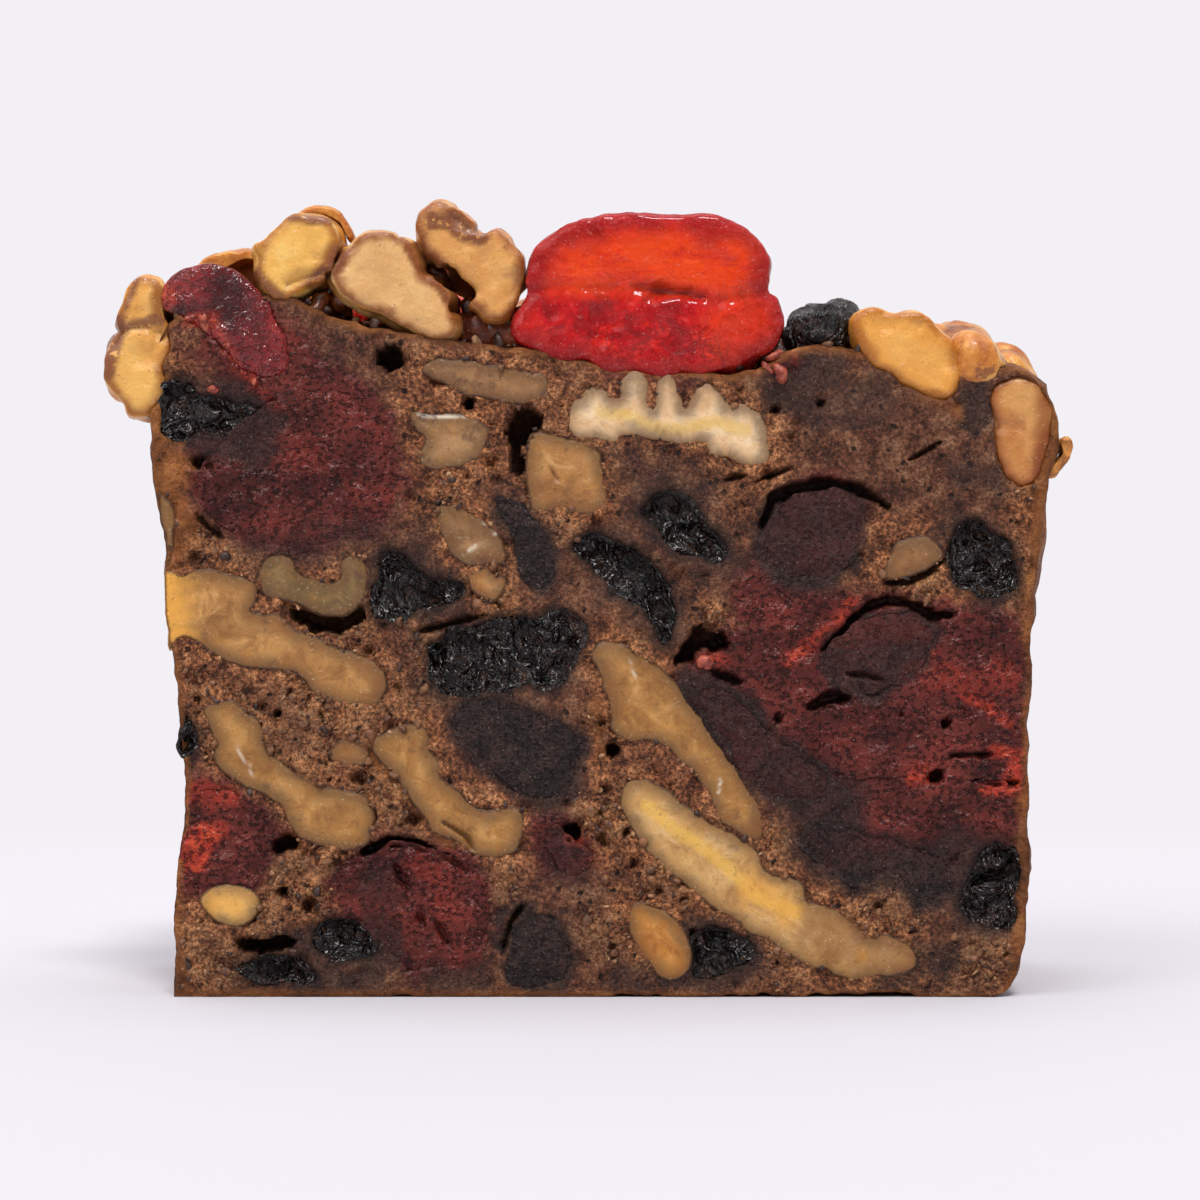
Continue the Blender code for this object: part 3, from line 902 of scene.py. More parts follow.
@dataclass(frozen=True)
class CrumbFinish(Finish):
    """Dense fruit-cake crumb, baked slowly and cut cold with a knife.

    It is matte with a faint greasy sheen. It is a dull purplish brown where it is smooth, orange
    brown and crumbly by the nuts and the crust, and stained by the fruit beside it.
    """

    cool: tuple[str, ...] = ("#45281d", "#613929", "#754a34", "#8f664c")
    warm: tuple[str, ...] = ("#542d1b", "#834f32", "#a0653f", "#c6895a")
    # Painted shade in the air holes, and the dark seam round the nuts.
    pore_shade_and_seam: str = "#120805"
    # Pale grains, partly painted glints.
    fleck_and_glint: str = "#b5977a"
    crumbly: str = "#9c6c44"
    crumbly_bright: str = "#c99e76"
    crust: tuple[str, ...] = ("#4a2814", "#8c5228", "#c28246")
    # Painted shade in the cracks and air holes.
    hollow: str = "#150906"
    syrup: str = "#3f1a08"
    cherry: CherryTones = CherryTones()
    prune: PruneTones = PruneTones()
    pore_pitch: float = 1.5
    pore_radius: float = 0.28

    def _pores(self, paint: Paint) -> Socket:
        """Mask of small ragged air holes, missing here and there.

        Args:
            paint: The material in the making.

        Returns:
            The mask, 1 inside the holes.
        """
        size = self.pore_radius / self.pore_pitch
        ragged = paint.add("TexNoise", {"Scale": 1 / 0.5, "Detail": 3.0}, output="Color")
        moved = paint.add("VectorMath", {0: ragged, 1: (0.7,) * 3, 2: paint.mm},
                          operation="MULTIPLY_ADD")
        away = paint.add("TexVoronoi", {"Vector": moved, "Scale": 1 / self.pore_pitch},
                         output="Distance")
        sparse = paint.add("TexNoise", {"Scale": 1 / (3.1 * self.pore_pitch)})
        sparse = paint.add("MapRange", {0: sparse, 1: 0.47, 2: 0.35, 4: size})
        away = paint.add("Math", {0: away, 1: sparse}, operation="ADD")
        return paint.add("MapRange", {0: away, 1: size, 2: 0.6 * size})

    def _own(self, paint: Paint, mesh: dict[str, Socket]) -> tuple[Socket, Socket]:
        """The crumb's own colour and grain, with painted shade in its air holes and painted glints
        among its pale flecks.

        Args:
            paint: The material in the making.
            mesh: The mesh's measures.

        Returns:
            The colour, and the height in mm.
        """
        mottle = paint.add("TexNoise", {"Scale": 1 / 1.2, "Detail": 8.0, "Roughness": 0.76})
        level = paint.add("Math", {0: mesh["clump"], 1: 0.2, 2: paint.product(mottle, 0.8)},
                          operation="MULTIPLY_ADD")
        cool, warm = (
            paint.add("ValToRGB", {"Fac": level}, stops=tuple(zip((0.38, 0.46, 0.54, 0.66), tones)))
            for tones in (self.cool, self.warm)
        )
        # Grain 0.3 mm across, the finest that still shows from an arm's length.
        fine = paint.add("TexNoise", {"Scale": 1 / 0.3, "Detail": 3.0, "Roughness": 0.7})
        contrast = paint.add("ValToRGB", {"Fac": fine},
                             stops=((0.36, 0.34), (0.5, 0.93), (0.64, 1.9)))
        holes = self._pores(paint)
        top = paint.add("MapRange", {0: level, 1: 0.46, 2: 0.56})
        colour = paint.coats(cool, (warm, mesh["warm"]), (self.crumbly, mesh["pale"], top, 0.4))
        sandy = paint.add("MapRange", {0: mesh["warm"], 3: 0.6})
        colour = paint.add("Mix", {0: sandy, 6: colour, 7: contrast},
                           data_type="RGBA", blend_type="MULTIPLY")
        # Pale flecks, partly pale grains and partly painted glints; the air holes painted near
        # black as painted shade.
        colour = paint.coats(
            colour, (self.crumbly_bright, mesh["pale"], paint.specks(0.4, 0.52, 0.61), 0.4),
            (self.fleck_and_glint, paint.specks(0.2, 0.64, 0.71, 2.0), 0.55), (self.pore_shade_and_seam, holes, 0.9),
        )
        height = paint.add("Math", {0: fine, 1: 0.5, 2: mottle}, operation="MULTIPLY_ADD")
        height = paint.add("Math", {0: holes, 1: -1.0, 2: height}, operation="MULTIPLY_ADD")
        return colour, paint.product(height, 0.55)

    def shader(self, paint: Paint) -> Socket:
        """Mixes the crumb's own mottling with the stains and shades that the mesh measured, and
        paints the cracks and air holes dark as painted shade.

        Args:
            paint: The material in the making.

        Returns:
            The shader's output.
        """
        mesh = paint.measured(*CRUMB_MEASURES)
        own, height = self._own(paint, mesh)
        stained, flesh_height = soaked_flesh(paint, self.cherry, mesh["red"])
        dusky, paste_height = prune_paste(paint, self.prune)
        baked = paint.add("TexNoise", {"Scale": 1 / 3.6, "Detail": 9.0, "Roughness": 0.76})
        baked = paint.add("ValToRGB", {"Fac": baked},
                          stops=tuple(zip((0.34, 0.52, 0.7), self.crust)))
        # The cracks and air holes are painted dark as painted shade; the thin dark line round the
        # nuts is their seam.
        colour = paint.coats(
            own, (stained, mesh["stain"]), (dusky, mesh["dusk"]),
            (self.prune.deep, mesh["shade"], 0.8), (baked, mesh["crust"]),
            (self.syrup, mesh["syrup"]), (self.pore_shade_and_seam, mesh["line"]),
            (self.hollow, mesh["hollow"], 0.8),
        )
        height = paint.raised(height, (flesh_height, mesh["stain"]), (paste_height, mesh["dusk"]))
        moist = paint.add("Math", {0: mesh["stain"], 1: mesh["dusk"]}, operation="MAXIMUM")
        rough = paint.add("MapRange", {0: moist, 3: 0.55, 4: 0.32})
        return paint.surface(colour, height, 1.0, Roughness=rough, Specular_IOR_Level=0.2)


@dataclass(frozen=True)
class SoakedCherryFinish(Finish):
    """Dried cherry that has soaked up syrup and was cut through: moist, pitted and dark red."""

    tones: CherryTones = CherryTones()
    roughness: float = 0.32
    specular: float = 0.2

    def shader(self, paint: Paint) -> Socket:
        """Flesh with pits painted dark as painted shade, pale specks painted as glints, and
        brighter red where syrup stayed.

        Args:
            paint: The material in the making.

        Returns:
            The shader's output.
        """
        mesh = paint.measured("red", "dusk")
        colour, height = soaked_flesh(paint, self.tones, mesh["red"])
        dusky, paste_height = prune_paste(paint, PruneTones())
        colour = paint.coats(colour, (dusky, mesh["dusk"]))
        height = paint.raised(height, (paste_height, mesh["dusk"]))
        return paint.surface(colour, height, 1.0, Roughness=self.roughness,
                             Specular_IOR_Level=self.specular, Subsurface_Weight=0.1,
                             Subsurface_Radius=(1.0, 0.2, 0.15), Subsurface_Scale=0.6 * MM)


@dataclass(frozen=True)
class PruneFinish(Finish):
    """Dried plum, cut through: brown-black paste with a fine grain and pale specks."""

    tones: PruneTones = PruneTones()

    def shader(self, paint: Paint) -> Socket:
        """Fine cloudy grain with knife drag, and cherry red where a cherry stained it.

        Args:
            paint: The material in the making.

        Returns:
            The shader's output.
        """
        mesh = paint.measured("stain", "red")
        colour, height = prune_paste(paint, self.tones)
        stained, _ = soaked_flesh(paint, CherryTones(), mesh["red"])
        colour = paint.coats(colour, (stained, mesh["stain"], 0.3))
        return paint.surface(colour, height, 1.0, Roughness=0.32, Specular_IOR_Level=0.2)


@dataclass(frozen=True)
class RaisinFinish(Finish):
    """Wet raisin, torn open: almost black, with a sticky glossy skin and a painted highlight along
    its folds.
    """

    deep: str = "#080302"
    mid: str = "#1b0e0a"
    light: str = "#432b1f"
    # Colour of the painted highlight along the folds.
    painted_highlight: str = "#c9c4c0"

    def shader(self, paint: Paint) -> Socket:
        """Black skin with a painted highlight along its folds and real gloss where it is wet, with
        matte brown paste between.

        Args:
            paint: The material in the making.

        Returns:
            The shader's output.
        """
        clouds = paint.add("TexNoise", {"Scale": 1 / 1.4, "Detail": 7.0, "Roughness": 0.72})
        base = paint.add("ValToRGB", {"Fac": clouds},
                         stops=((0.46, self.deep), (0.57, self.mid), (0.7, self.light)))
        # Folds about 2 mm apart; a thin painted highlight lies on some of them, where the light
        # would catch.
        folds = paint.add("TexNoise", {"Scale": 1 / 2.6, "Detail": 3.0, "Distortion": 2.0})
        level = paint.add("Math", {0: folds, 1: 0.54}, operation="SUBTRACT")
        level = paint.add("Math", {0: level}, operation="ABSOLUTE")
        ridge = paint.add("MapRange", {0: level, 1: 0.012, 2: 0.003})
        wet = paint.specks(2.4, 0.42, 0.52)
        colour = paint.coats(base, (self.painted_highlight, wet, ridge, paint.specks(0.8, 0.5, 0.58), 0.85),
                             ("#7a5233", paint.specks(0.5, 0.66, 0.7), 0.6))
        crinkle = paint.add("TexNoise", {"Scale": 1 / 0.8, "Distortion": 1.2})
        relief = paint.add("Math", {0: folds, 1: 3.0, 2: crinkle}, operation="MULTIPLY_ADD")
        rough = paint.add("MapRange", {0: wet, 3: 0.5, 4: 0.12})
        return paint.surface(colour, relief, 0.55, Roughness=rough, Specular_IOR_Level=0.4)


@dataclass(frozen=True)
class CutNutFinish(Finish):
    """Walnut or almond kernel, cut through: waxy, slightly translucent, with a brown skin rim."""

    deep: str = "#8a5d30"
    mid: str = "#a6763e"
    light: str = "#c49456"
    edge: str = "#6b4a2c"
    rim: str = "#3c1f0d"
    vein: str = "#c98b35"
    core: str = "#dca947"
    core_share: float = 0.0
    smear: float = 0.15
    smear_colour: str = "#5a4030"
    toast: str = "#7c4d29"
    gold: str = "#e3a548"

    def shader(self, paint: Paint) -> Socket:
        """Cloudy kernel, browner towards its skin, with crumb smeared over it in places.

        Args:
            paint: The material in the making.

        Returns:
            The shader's output.
        """
        mesh = paint.measured("inward", "core", "toast", "gold", "scratch")
        clouds = paint.add("TexNoise", {"Scale": 1 / 2.2, "Detail": 6.0, "Roughness": 0.62,
                                        "Distortion": 0.8})
        kernel = paint.add("ValToRGB", {"Fac": clouds},
                           stops=((0.34, self.deep), (0.5, self.mid), (0.66, self.light)))
        fine = paint.add("TexNoise", {"Scale": 1 / 0.35, "Detail": 4.0, "Roughness": 0.65})
        loose_edge = paint.add("Math", {0: clouds, 1: -3.0, 2: mesh["inward"]},
                               operation="MULTIPLY_ADD")
        browned = paint.add("MapRange", {0: loose_edge, 1: -1.4, 2: 0.1, 3: 0.8, 4: 0.0},
                            interpolation_type="SMOOTHSTEP")
        skin = paint.add("Math", {0: fine, 1: -0.4, 2: mesh["inward"]}, operation="MULTIPLY_ADD")
        skin = paint.add("MapRange", {0: skin, 1: -0.1, 2: 0.06, 3: 0.75, 4: 0.0})
        wander = paint.add("Math", {0: fine, 1: 0.5, 2: mesh["core"]}, operation="MULTIPLY_ADD")
        line = paint.add("MapRange", {0: wander, 1: 0.75, 2: 1.35, 4: self.core_share})
        low = 0.64 - 0.3 * self.smear
        colour = paint.coats(
            kernel, (self.vein, paint.specks(1.3, 0.56, 0.66, 4.0), 0.25), (self.core, line),
            (self.edge, browned), (self.gold, mesh["gold"]), (self.toast, mesh["toast"]),
            (self.smear_colour, paint.specks(1.7, low, low + 0.1, 6.0),
             min(0.85, 0.4 + self.smear)),
            (self.rim, paint.specks(0.33, 0.4, 0.3), 0.35),
            ("#ecd8b4", paint.specks(0.24, 0.64, 0.74, 2.0), 0.3),
            ("#efe6d2", mesh["scratch"]), (self.rim, skin),
        )
        relief = paint.add("Math", {0: fine, 1: 0.25, 2: clouds}, operation="MULTIPLY_ADD")
        rough = paint.add("MapRange", {0: clouds, 1: 0.35, 2: 0.65, 3: 0.3, 4: 0.48})
        return paint.surface(colour, relief, 0.22, Roughness=rough, Specular_IOR_Level=0.3,
                             Subsurface_Weight=0.3, Subsurface_Radius=(1.0, 0.6, 0.3),
                             Subsurface_Scale=0.8 * MM)


@dataclass(frozen=True)
class GlazedNutFinish(Finish):
    """Shelled walnut, toasted and brushed with clear syrup: golden, brown in its folds, glossy."""

    deep: str = "#a85e24"
    mid: str = "#c98238"
    light: str = "#e0a552"
    fold: str = "#6b2f10"
    skin: str = "#80492c"
    skin_share: float = 0.3
    cut_tone: str = "#dda861"
    amber: str = "#9a5216"

    def shader(self, paint: Paint) -> Socket:
        """Toasted kernel with brown folds, skin patches, amber edges and a coat of syrup.

        Args:
            paint: The material in the making.

        Returns:
            The shader's output.
        """
        mesh = paint.measured("fold", "cut", "inward", "skin", "gold", "toast")
        clouds = paint.add("TexNoise", {"Scale": 1 / 2.6, "Detail": 5.0, "Roughness": 0.58})
        fine = paint.add("TexNoise", {"Scale": 1 / 0.5, "Detail": 5.0, "Roughness": 0.65})
        kernel = paint.add("ValToRGB", {"Fac": clouds},
                           stops=((0.38, self.deep), (0.5, self.mid), (0.6, self.light)))
        level = 0.68 - 0.24 * self.skin_share
        loose = paint.add("Math", {0: clouds, 1: -2.4, 2: mesh["inward"]},
                          operation="MULTIPLY_ADD")
        pooled = paint.add("MapRange", {0: loose, 1: -1.1, 2: -0.1, 3: 0.9, 4: 0.0},
                           interpolation_type="SMOOTHSTEP")
        folded = paint.coats(kernel, (self.skin, paint.specks(3.3, level, level + 0.05, 6.0), 0.85),
                             (self.fold, mesh["fold"]))
        sliced = paint.coats(kernel, (self.cut_tone, 0.6), (self.amber, pooled))
        # The small cream specks are painted glints on the glaze.
        colour = paint.coats(
            folded, (sliced, mesh["cut"]), (self.light, mesh["gold"]), (self.amber, mesh["toast"]),
            (self.skin, mesh["skin"], paint.specks(0.7, 0.36, 0.44, 4.0)),
            (self.fold, paint.specks(0.4, 0.37, 0.29), 0.55),
            ("#f3e3c6", paint.specks(0.22, 0.66, 0.74, 2.0), 0.45),
        )
        relief = paint.add("Math", {0: fine, 1: 0.2, 2: clouds}, operation="MULTIPLY_ADD")
        return paint.surface(colour, relief, 0.45, Roughness=0.3, Specular_IOR_Level=0.3,
                             Subsurface_Weight=0.3, Subsurface_Radius=(1.0, 0.5, 0.2),
                             Subsurface_Scale=1.2 * MM, Coat_Weight=0.2, Coat_Roughness=0.12,
                             Coat_IOR=1.45)


@dataclass(frozen=True)
class CandiedCherryFinish(Finish):
    """Cherry candied in red syrup: translucent, so light glows in it, with a glossy wet skin and an
    orange glow painted into its colour.
    """

    rim: str = "#a0060c"
    flesh: str = "#cd0d13"
    light: str = "#e8291a"
    # Painted glow, where light would shine through the flesh.
    glow: str = "#ff4d0a"
    grit: str = "#860a10"
    # Painted shade in the cracks and the open cavity.
    crack: str = "#6f0508"

    def shader(self, paint: Paint) -> Socket:
        """Red flesh with a painted orange glow, gritty dark patches, deep cracks painted dark as
        painted shade, and sugar crystals painted light as glints.

        Args:
            paint: The material in the making.

        Returns:
            The shader's output.
        """
        mesh = paint.measured("glow", "grit", "crack", "rind")
        clouds = paint.add("TexNoise", {"Scale": 1 / 2.2, "Detail": 6.0, "Roughness": 0.62,
                                        "Distortion": 0.8})
        fine = paint.add("TexNoise", {"Scale": 1 / 0.6, "Detail": 5.0, "Roughness": 0.66,
                                      "Distortion": 1.2})
        lying = paint.add("Mapping", {"Vector": paint.mm, "Scale": (0.25, 1.0, 1.0)})
        flesh = paint.add("ValToRGB", {"Fac": clouds},
                          stops=((0.36, self.rim), (0.5, self.flesh), (0.64, self.light)))
        # The glow and the paler specks in it are painted light, the cracks are painted shade, and
        # the pale specks on the rind and all over are sugar crystals painted light as glints.
        colour = paint.coats(
            flesh, (self.glow, mesh["glow"]),
            (self.light, paint.specks(1.1, 0.55, 0.66, 5.0), mesh["glow"], 0.5),
            (self.flesh, paint.specks(0.9, 0.5, 0.66, 4.0, lying), mesh["glow"], 0.6),
            (self.rim, mesh["rind"], 0.7),
            ("#d0544c", mesh["rind"], paint.specks(0.45, 0.55, 0.65), 0.5),
            (self.grit, mesh["grit"], paint.specks(0.36, 0.52, 0.44), 0.6),
            (self.crack, mesh["crack"], 0.8),
            ("#f0a59a", paint.specks(0.22, 0.66, 0.73, 2.0), 0.6),
        )
        relief = paint.add("Math", {0: clouds, 1: 2.0, 2: fine}, operation="MULTIPLY_ADD")
        return paint.surface(colour, relief, 0.5, Roughness=0.24, Specular_IOR_Level=0.2,
                             Subsurface_Weight=0.5, Subsurface_Radius=(1.0, 0.1, 0.04),
                             Subsurface_Scale=1.6 * MM, Coat_Weight=0.35, Coat_Roughness=0.06,
                             Coat_IOR=1.45)


@dataclass(frozen=True)
class GranuleFinish(Finish):
    """Small dry or sugary bits: one colour family, mottled from bit to bit."""

    dark: str = "#5a4030"
    light: str = "#a07850"
    roughness: float = 0.5

    def shader(self, paint: Paint) -> Socket:
        """Mottled tone, a little different on every bit.

        Args:
            paint: The material in the making.

        Returns:
            The shader's output.
        """
        clouds = paint.add("TexNoise", {"Scale": 1 / 0.9, "Detail": 5.0, "Roughness": 0.68})
        colour = paint.add("ValToRGB", {"Fac": clouds},
                           stops=((0.38, self.dark), (0.62, self.light)))
        return paint.surface(colour, clouds, 0.15, 0.8, Roughness=self.roughness)


@dataclass(frozen=True)
class PaperFinish(Finish):
    """Seamless studio paper: pale, matte, with a very faint grain.

    Far from the cake it is as bright as the surroundings, so that it has no visible end.
    """

    tone: str = "#c8c5cb"
    far_tone: str = "#f3f0f5"
    near_mm: float = 60.0
    far_mm: float = 230.0

    def shader(self, paint: Paint) -> Socket:
        """Paper that takes soft shadows near the cake and none far off.

        Args:
            paint: The material in the making.

        Returns:
            The shader's output.
        """
        grain = paint.add("TexNoise", {"Scale": 1 / 1.5})
        paper = paint.surface(self.tone, grain, 0.05, 0.05, Roughness=0.85,
                              Specular_IOR_Level=0.1)
        glow = paint.add("Emission", {"Color": self.far_tone})
        away = paint.add("VectorMath", {0: paint.mm}, output="Value", operation="LENGTH")
        share = paint.add("MapRange", {0: away, 1: self.near_mm, 2: self.far_mm},
                          interpolation_type="SMOOTHSTEP")
        return paint.add("MixShader", {0: share, 1: paper, 2: glow})


# ---------------------------------------------------------------------------------------------
# Nuts and fruit in the cut faces
# ---------------------------------------------------------------------------------------------


class Kind(Enum):
    """What a solid is, named as its node is named without the number."""

    CRUMB = "crumb"
    WALNUT = "walnut"
    ALMOND = "almond"
    RAISIN = "raisin"
    PRUNE = "prune"
    DARK_CHERRY = "dark_cherry"
    GLAZED_NUT = "glazed_nut"
    GLACE_CHERRY = "glace_cherry"

    @classmethod
    def of(cls, node_name: str) -> "Kind":
        """The kind that a node's name states."""
        return cls(node_name.rstrip("0123456789").rstrip("_"))


@dataclass(frozen=True)
class CutRelief:
    """How a kind of piece stands in the face that the knife left.

    Attributes:
        rise: How far its middle stands proud of the crumb.
        rim_drop: How far its rim dips below the crumb, so that the crumb laps over it.
        rim_width: Distance over which the rim dips.
        wave: Height of its broad waves, 3 mm long.
        grain: Height of its grain, 0.8 mm long.
        wrinkle: Depth of its wrinkles.
        wrinkle_pitch: Distance between wrinkles.
        bed: How far the crumb is hollowed out under it.
        wander: How far its outline strays from its solid's.
    """

    rise: float = 0.0
    rim_drop: float = 0.05
    rim_width: float = 1.0
    wave: float = 0.16
    grain: float = 0.1
    wrinkle: float = 0.0
    wrinkle_pitch: float = 2.2
    bed: float = 0.6
    wander: float = 0.35


RELIEFS = {
    Kind.WALNUT: CutRelief(0.03, 0.08, 0.25, wave=0.07, grain=0.04),
    Kind.ALMOND: CutRelief(0.03, 0.08, 0.25, wave=0.04, grain=0.04, wander=0.12),
    Kind.RAISIN: CutRelief(0.1, 0.3, 0.5, wave=0.3, grain=0.12, wrinkle=1.6, bed=2.2, wander=0.7),
    Kind.PRUNE: CutRelief(wander=0.8),
    Kind.DARK_CHERRY: CutRelief(wave=0.14, wander=0.6),
}


@dataclass(frozen=True)
class Stroke:
    """A soft stroke in the front face: a crack, an air hole or a patch of colour.

    Attributes:
        line: Corners of its middle line, or one corner for a round spot.
        width: Its width.
        level: Its depth in mm, or its strength from 0 to 1.
        soft: Width of its soft edge.
        ragged: How far its edge wanders, as a share of its width.
        tapered: Whether it runs out to points.
    """

    line: Corners
    width: float
    level: float = 1.0
    soft: float = 0.8
    ragged: float = 0.3
    tapered: bool = False

    def share(self, points: np.ndarray, wobble: np.ndarray) -> np.ndarray:
        """The level that the stroke gives to each place.

        Args:
            points: Places (x, z), shape (n, 2).
            wobble: How its edges wander there, from -1 to 1.

        Returns:
            One level for each place.
        """
        away, along = followed(points, self.line)
        half = 0.5 * self.width
        if self.tapered:
            half = half * np.sqrt(1.0 - 0.9 * (2.0 * along - 1.0) ** 2)
        away = away + self.ragged * self.width * wobble
        return self.level * ease(half + self.soft / 2, half - self.soft / 2, away)


def crack(line: Corners, width: float, depth: float = 1.4, tapered: bool = True) -> Stroke:
    """A gap with a crisp, ragged edge."""
    return Stroke(line, width, depth, 0.28, 0.32, tapered)


def air_hole(line: Corners, width: float, depth: float = 2.5) -> Stroke:
    """An air hole, as wide at its ends as in its middle."""
    return crack(line, width, depth, tapered=False)


def loose_patch(x: float, z: float, radius: float) -> Stroke:
    """A patch of pale, loose crumb."""
    return Stroke((x, z), 1.5 * radius, 1.0, radius, 0.25)


# What each row says: air_hole() and crack() for gaps in the crumb, loose_patch() for loose
# crumb, and Stroke() for the patches of colour and the creases.
HOLES = (
    ((-16.3, 53.5), 1.9, 3), ((-5.4, 46.9, -4.7, 48.3), 1.9, 3.5),
    ((-5.7, 46, -5.5, 44.2), 1.3, 3), ((-9.6, 49.5), 0.8), ((-25.5, 12.3, -24.7, 12.7), 1.05),
    ((-25.6, 23.6), 0.7), ((-25.2, 8.8), 0.5), ((-1, 13.7), 1.1), ((2.4, 20.6), 1),
    ((19.8, 49.6), 0.6, 1.2), ((16, 48.9), 0.5, 1.2), ((16.2, 23.3), 0.7, 1.2),
    ((26.5, 23.6), 0.6, 1.2), ((30.2, 22.8), 0.7, 1.2), ((29.4, 18.4), 1, 1.5),
)
CRACKS = (
    ((-24.2, 32, -22.6, 31.2, -20.6, 30.9, -18.7, 31.8), 1.3, 3),
    ((-28.8, 4.6, -26.8, 4.1, -24.6, 4.5), 1.5, 3),
    ((-18.6, 12, -16.4, 12.8, -14.4, 12.8, -12.9, 12.3), 0.9, 1.8),
    ((-12.6, 12.1, -11.2, 11.5, -9.6, 10.4), 0.5), ((-15.7, 10.9, -15.2, 9.8, -14.4, 8.8), 0.7),
    ((-13.9, 6.9, -13.4, 5.9), 0.8), ((-12.3, 6.2, -11.2, 4.2), 0.6),
    ((-5.3, 7.4, -6.1, 6.2, -6.8, 3.8), 0.5), ((7.8, 28, 9.9, 30, 11.8, 29.3), 1.6, 3),
    ((10.6, 27.2, 13, 26.2), 0.6),
    ((14.9, 39.3, 15.6, 41.4, 17.4, 42.4, 20.2, 42.8, 22.8, 42.4, 25.4, 40.9), 0.9, 1.8),
    ((12, 43.2, 13.4, 43.5), 0.4), ((14.3, 43, 17.2, 44.1), 0.35),
    ((22.2, 31.4, 23.6, 32.5, 25.4, 33.1, 27.6, 32.6, 29.2, 31.7, 30.8, 31.9), 0.85, 1.8),
    ((25.4, 34.6, 27.2, 34.8, 28.8, 35.5, 30.4, 36.7), 0.65, 1.6),
    ((20, 29, 21.6, 30.4, 22.6, 31.6), 0.45), ((27.2, 44.8, 29.8, 46.3), 0.35),
    ((19, 24.2, 20.4, 24.8, 22, 24.9), 1.1, 1.6), ((22, 26.9, 23.4, 26.8, 24.8, 26.5), 0.35),
    ((32.4, 17.9, 34.2, 17.8, 36.2, 17.8), 0.4), ((30.6, 20.1, 34, 20.2), 0.4),
    ((-32.4, 44.7, -31, 44.3), 0.9), ((-32.2, 40.2, -31.4, 39.2, -30.2, 38.4), 0.5),
    ((31.9, 8.9, 33.6, 10, 34.4, 9.9, 35.9, 11.6), 0.7),
    ((-9, 11.9, -9.8, 13.4, -11.8, 14.6), 0.35), ((-2.7, 43.9, -2.3, 43.2, -1.9, 43.1), 0.4, 0.8),
    ((9, 5.6, 9.4, 4.2, 9.4, 2.6), 0.6), ((-14, 30.4, -8.2, 31.9), 0.5),
)
LOOSE_PATCHES = (
    (-29, 22.4, 4.5), (-21, 23.6, 5.5), (-13, 26.4, 3.4), (-16.6, 16, 4), (-14, 30.6, 2.6),
    (-21, 29.8, 3.6), (-31.4, 3, 4), (-24.6, 9.4, 3.4), (-20.8, 10.2, 3), (-30.6, 38.2, 2.8),
    (-7.5, 33.5, 2.4), (2.6, 15, 3.6), (16.6, 12, 2.6), (24.6, 8, 3.8), (33.4, 3, 3.6),
    (7, 9, 2.8), (-1.2, 17, 2.6), (-7.6, 8.4, 3.4), (17, 3, 2.6), (11.6, 31.2, 2.2),
    (28, 33.6, 2.8), (14, 26.4, 2.4), (-26.6, 6.4, 2.4), (-1.6, 39, 2.2), (1.6, 5, 3),
    (36.6, 44, 2.4), (-11.4, 42.2, 1.8), (-22.6, 7.8, 2.4), (-4.4, 49.9, 1.4), (1.6, 22.4, 1.8),
    (-31.6, 16.8, 1.8), (-31.8, 25.6, 1.8),
)
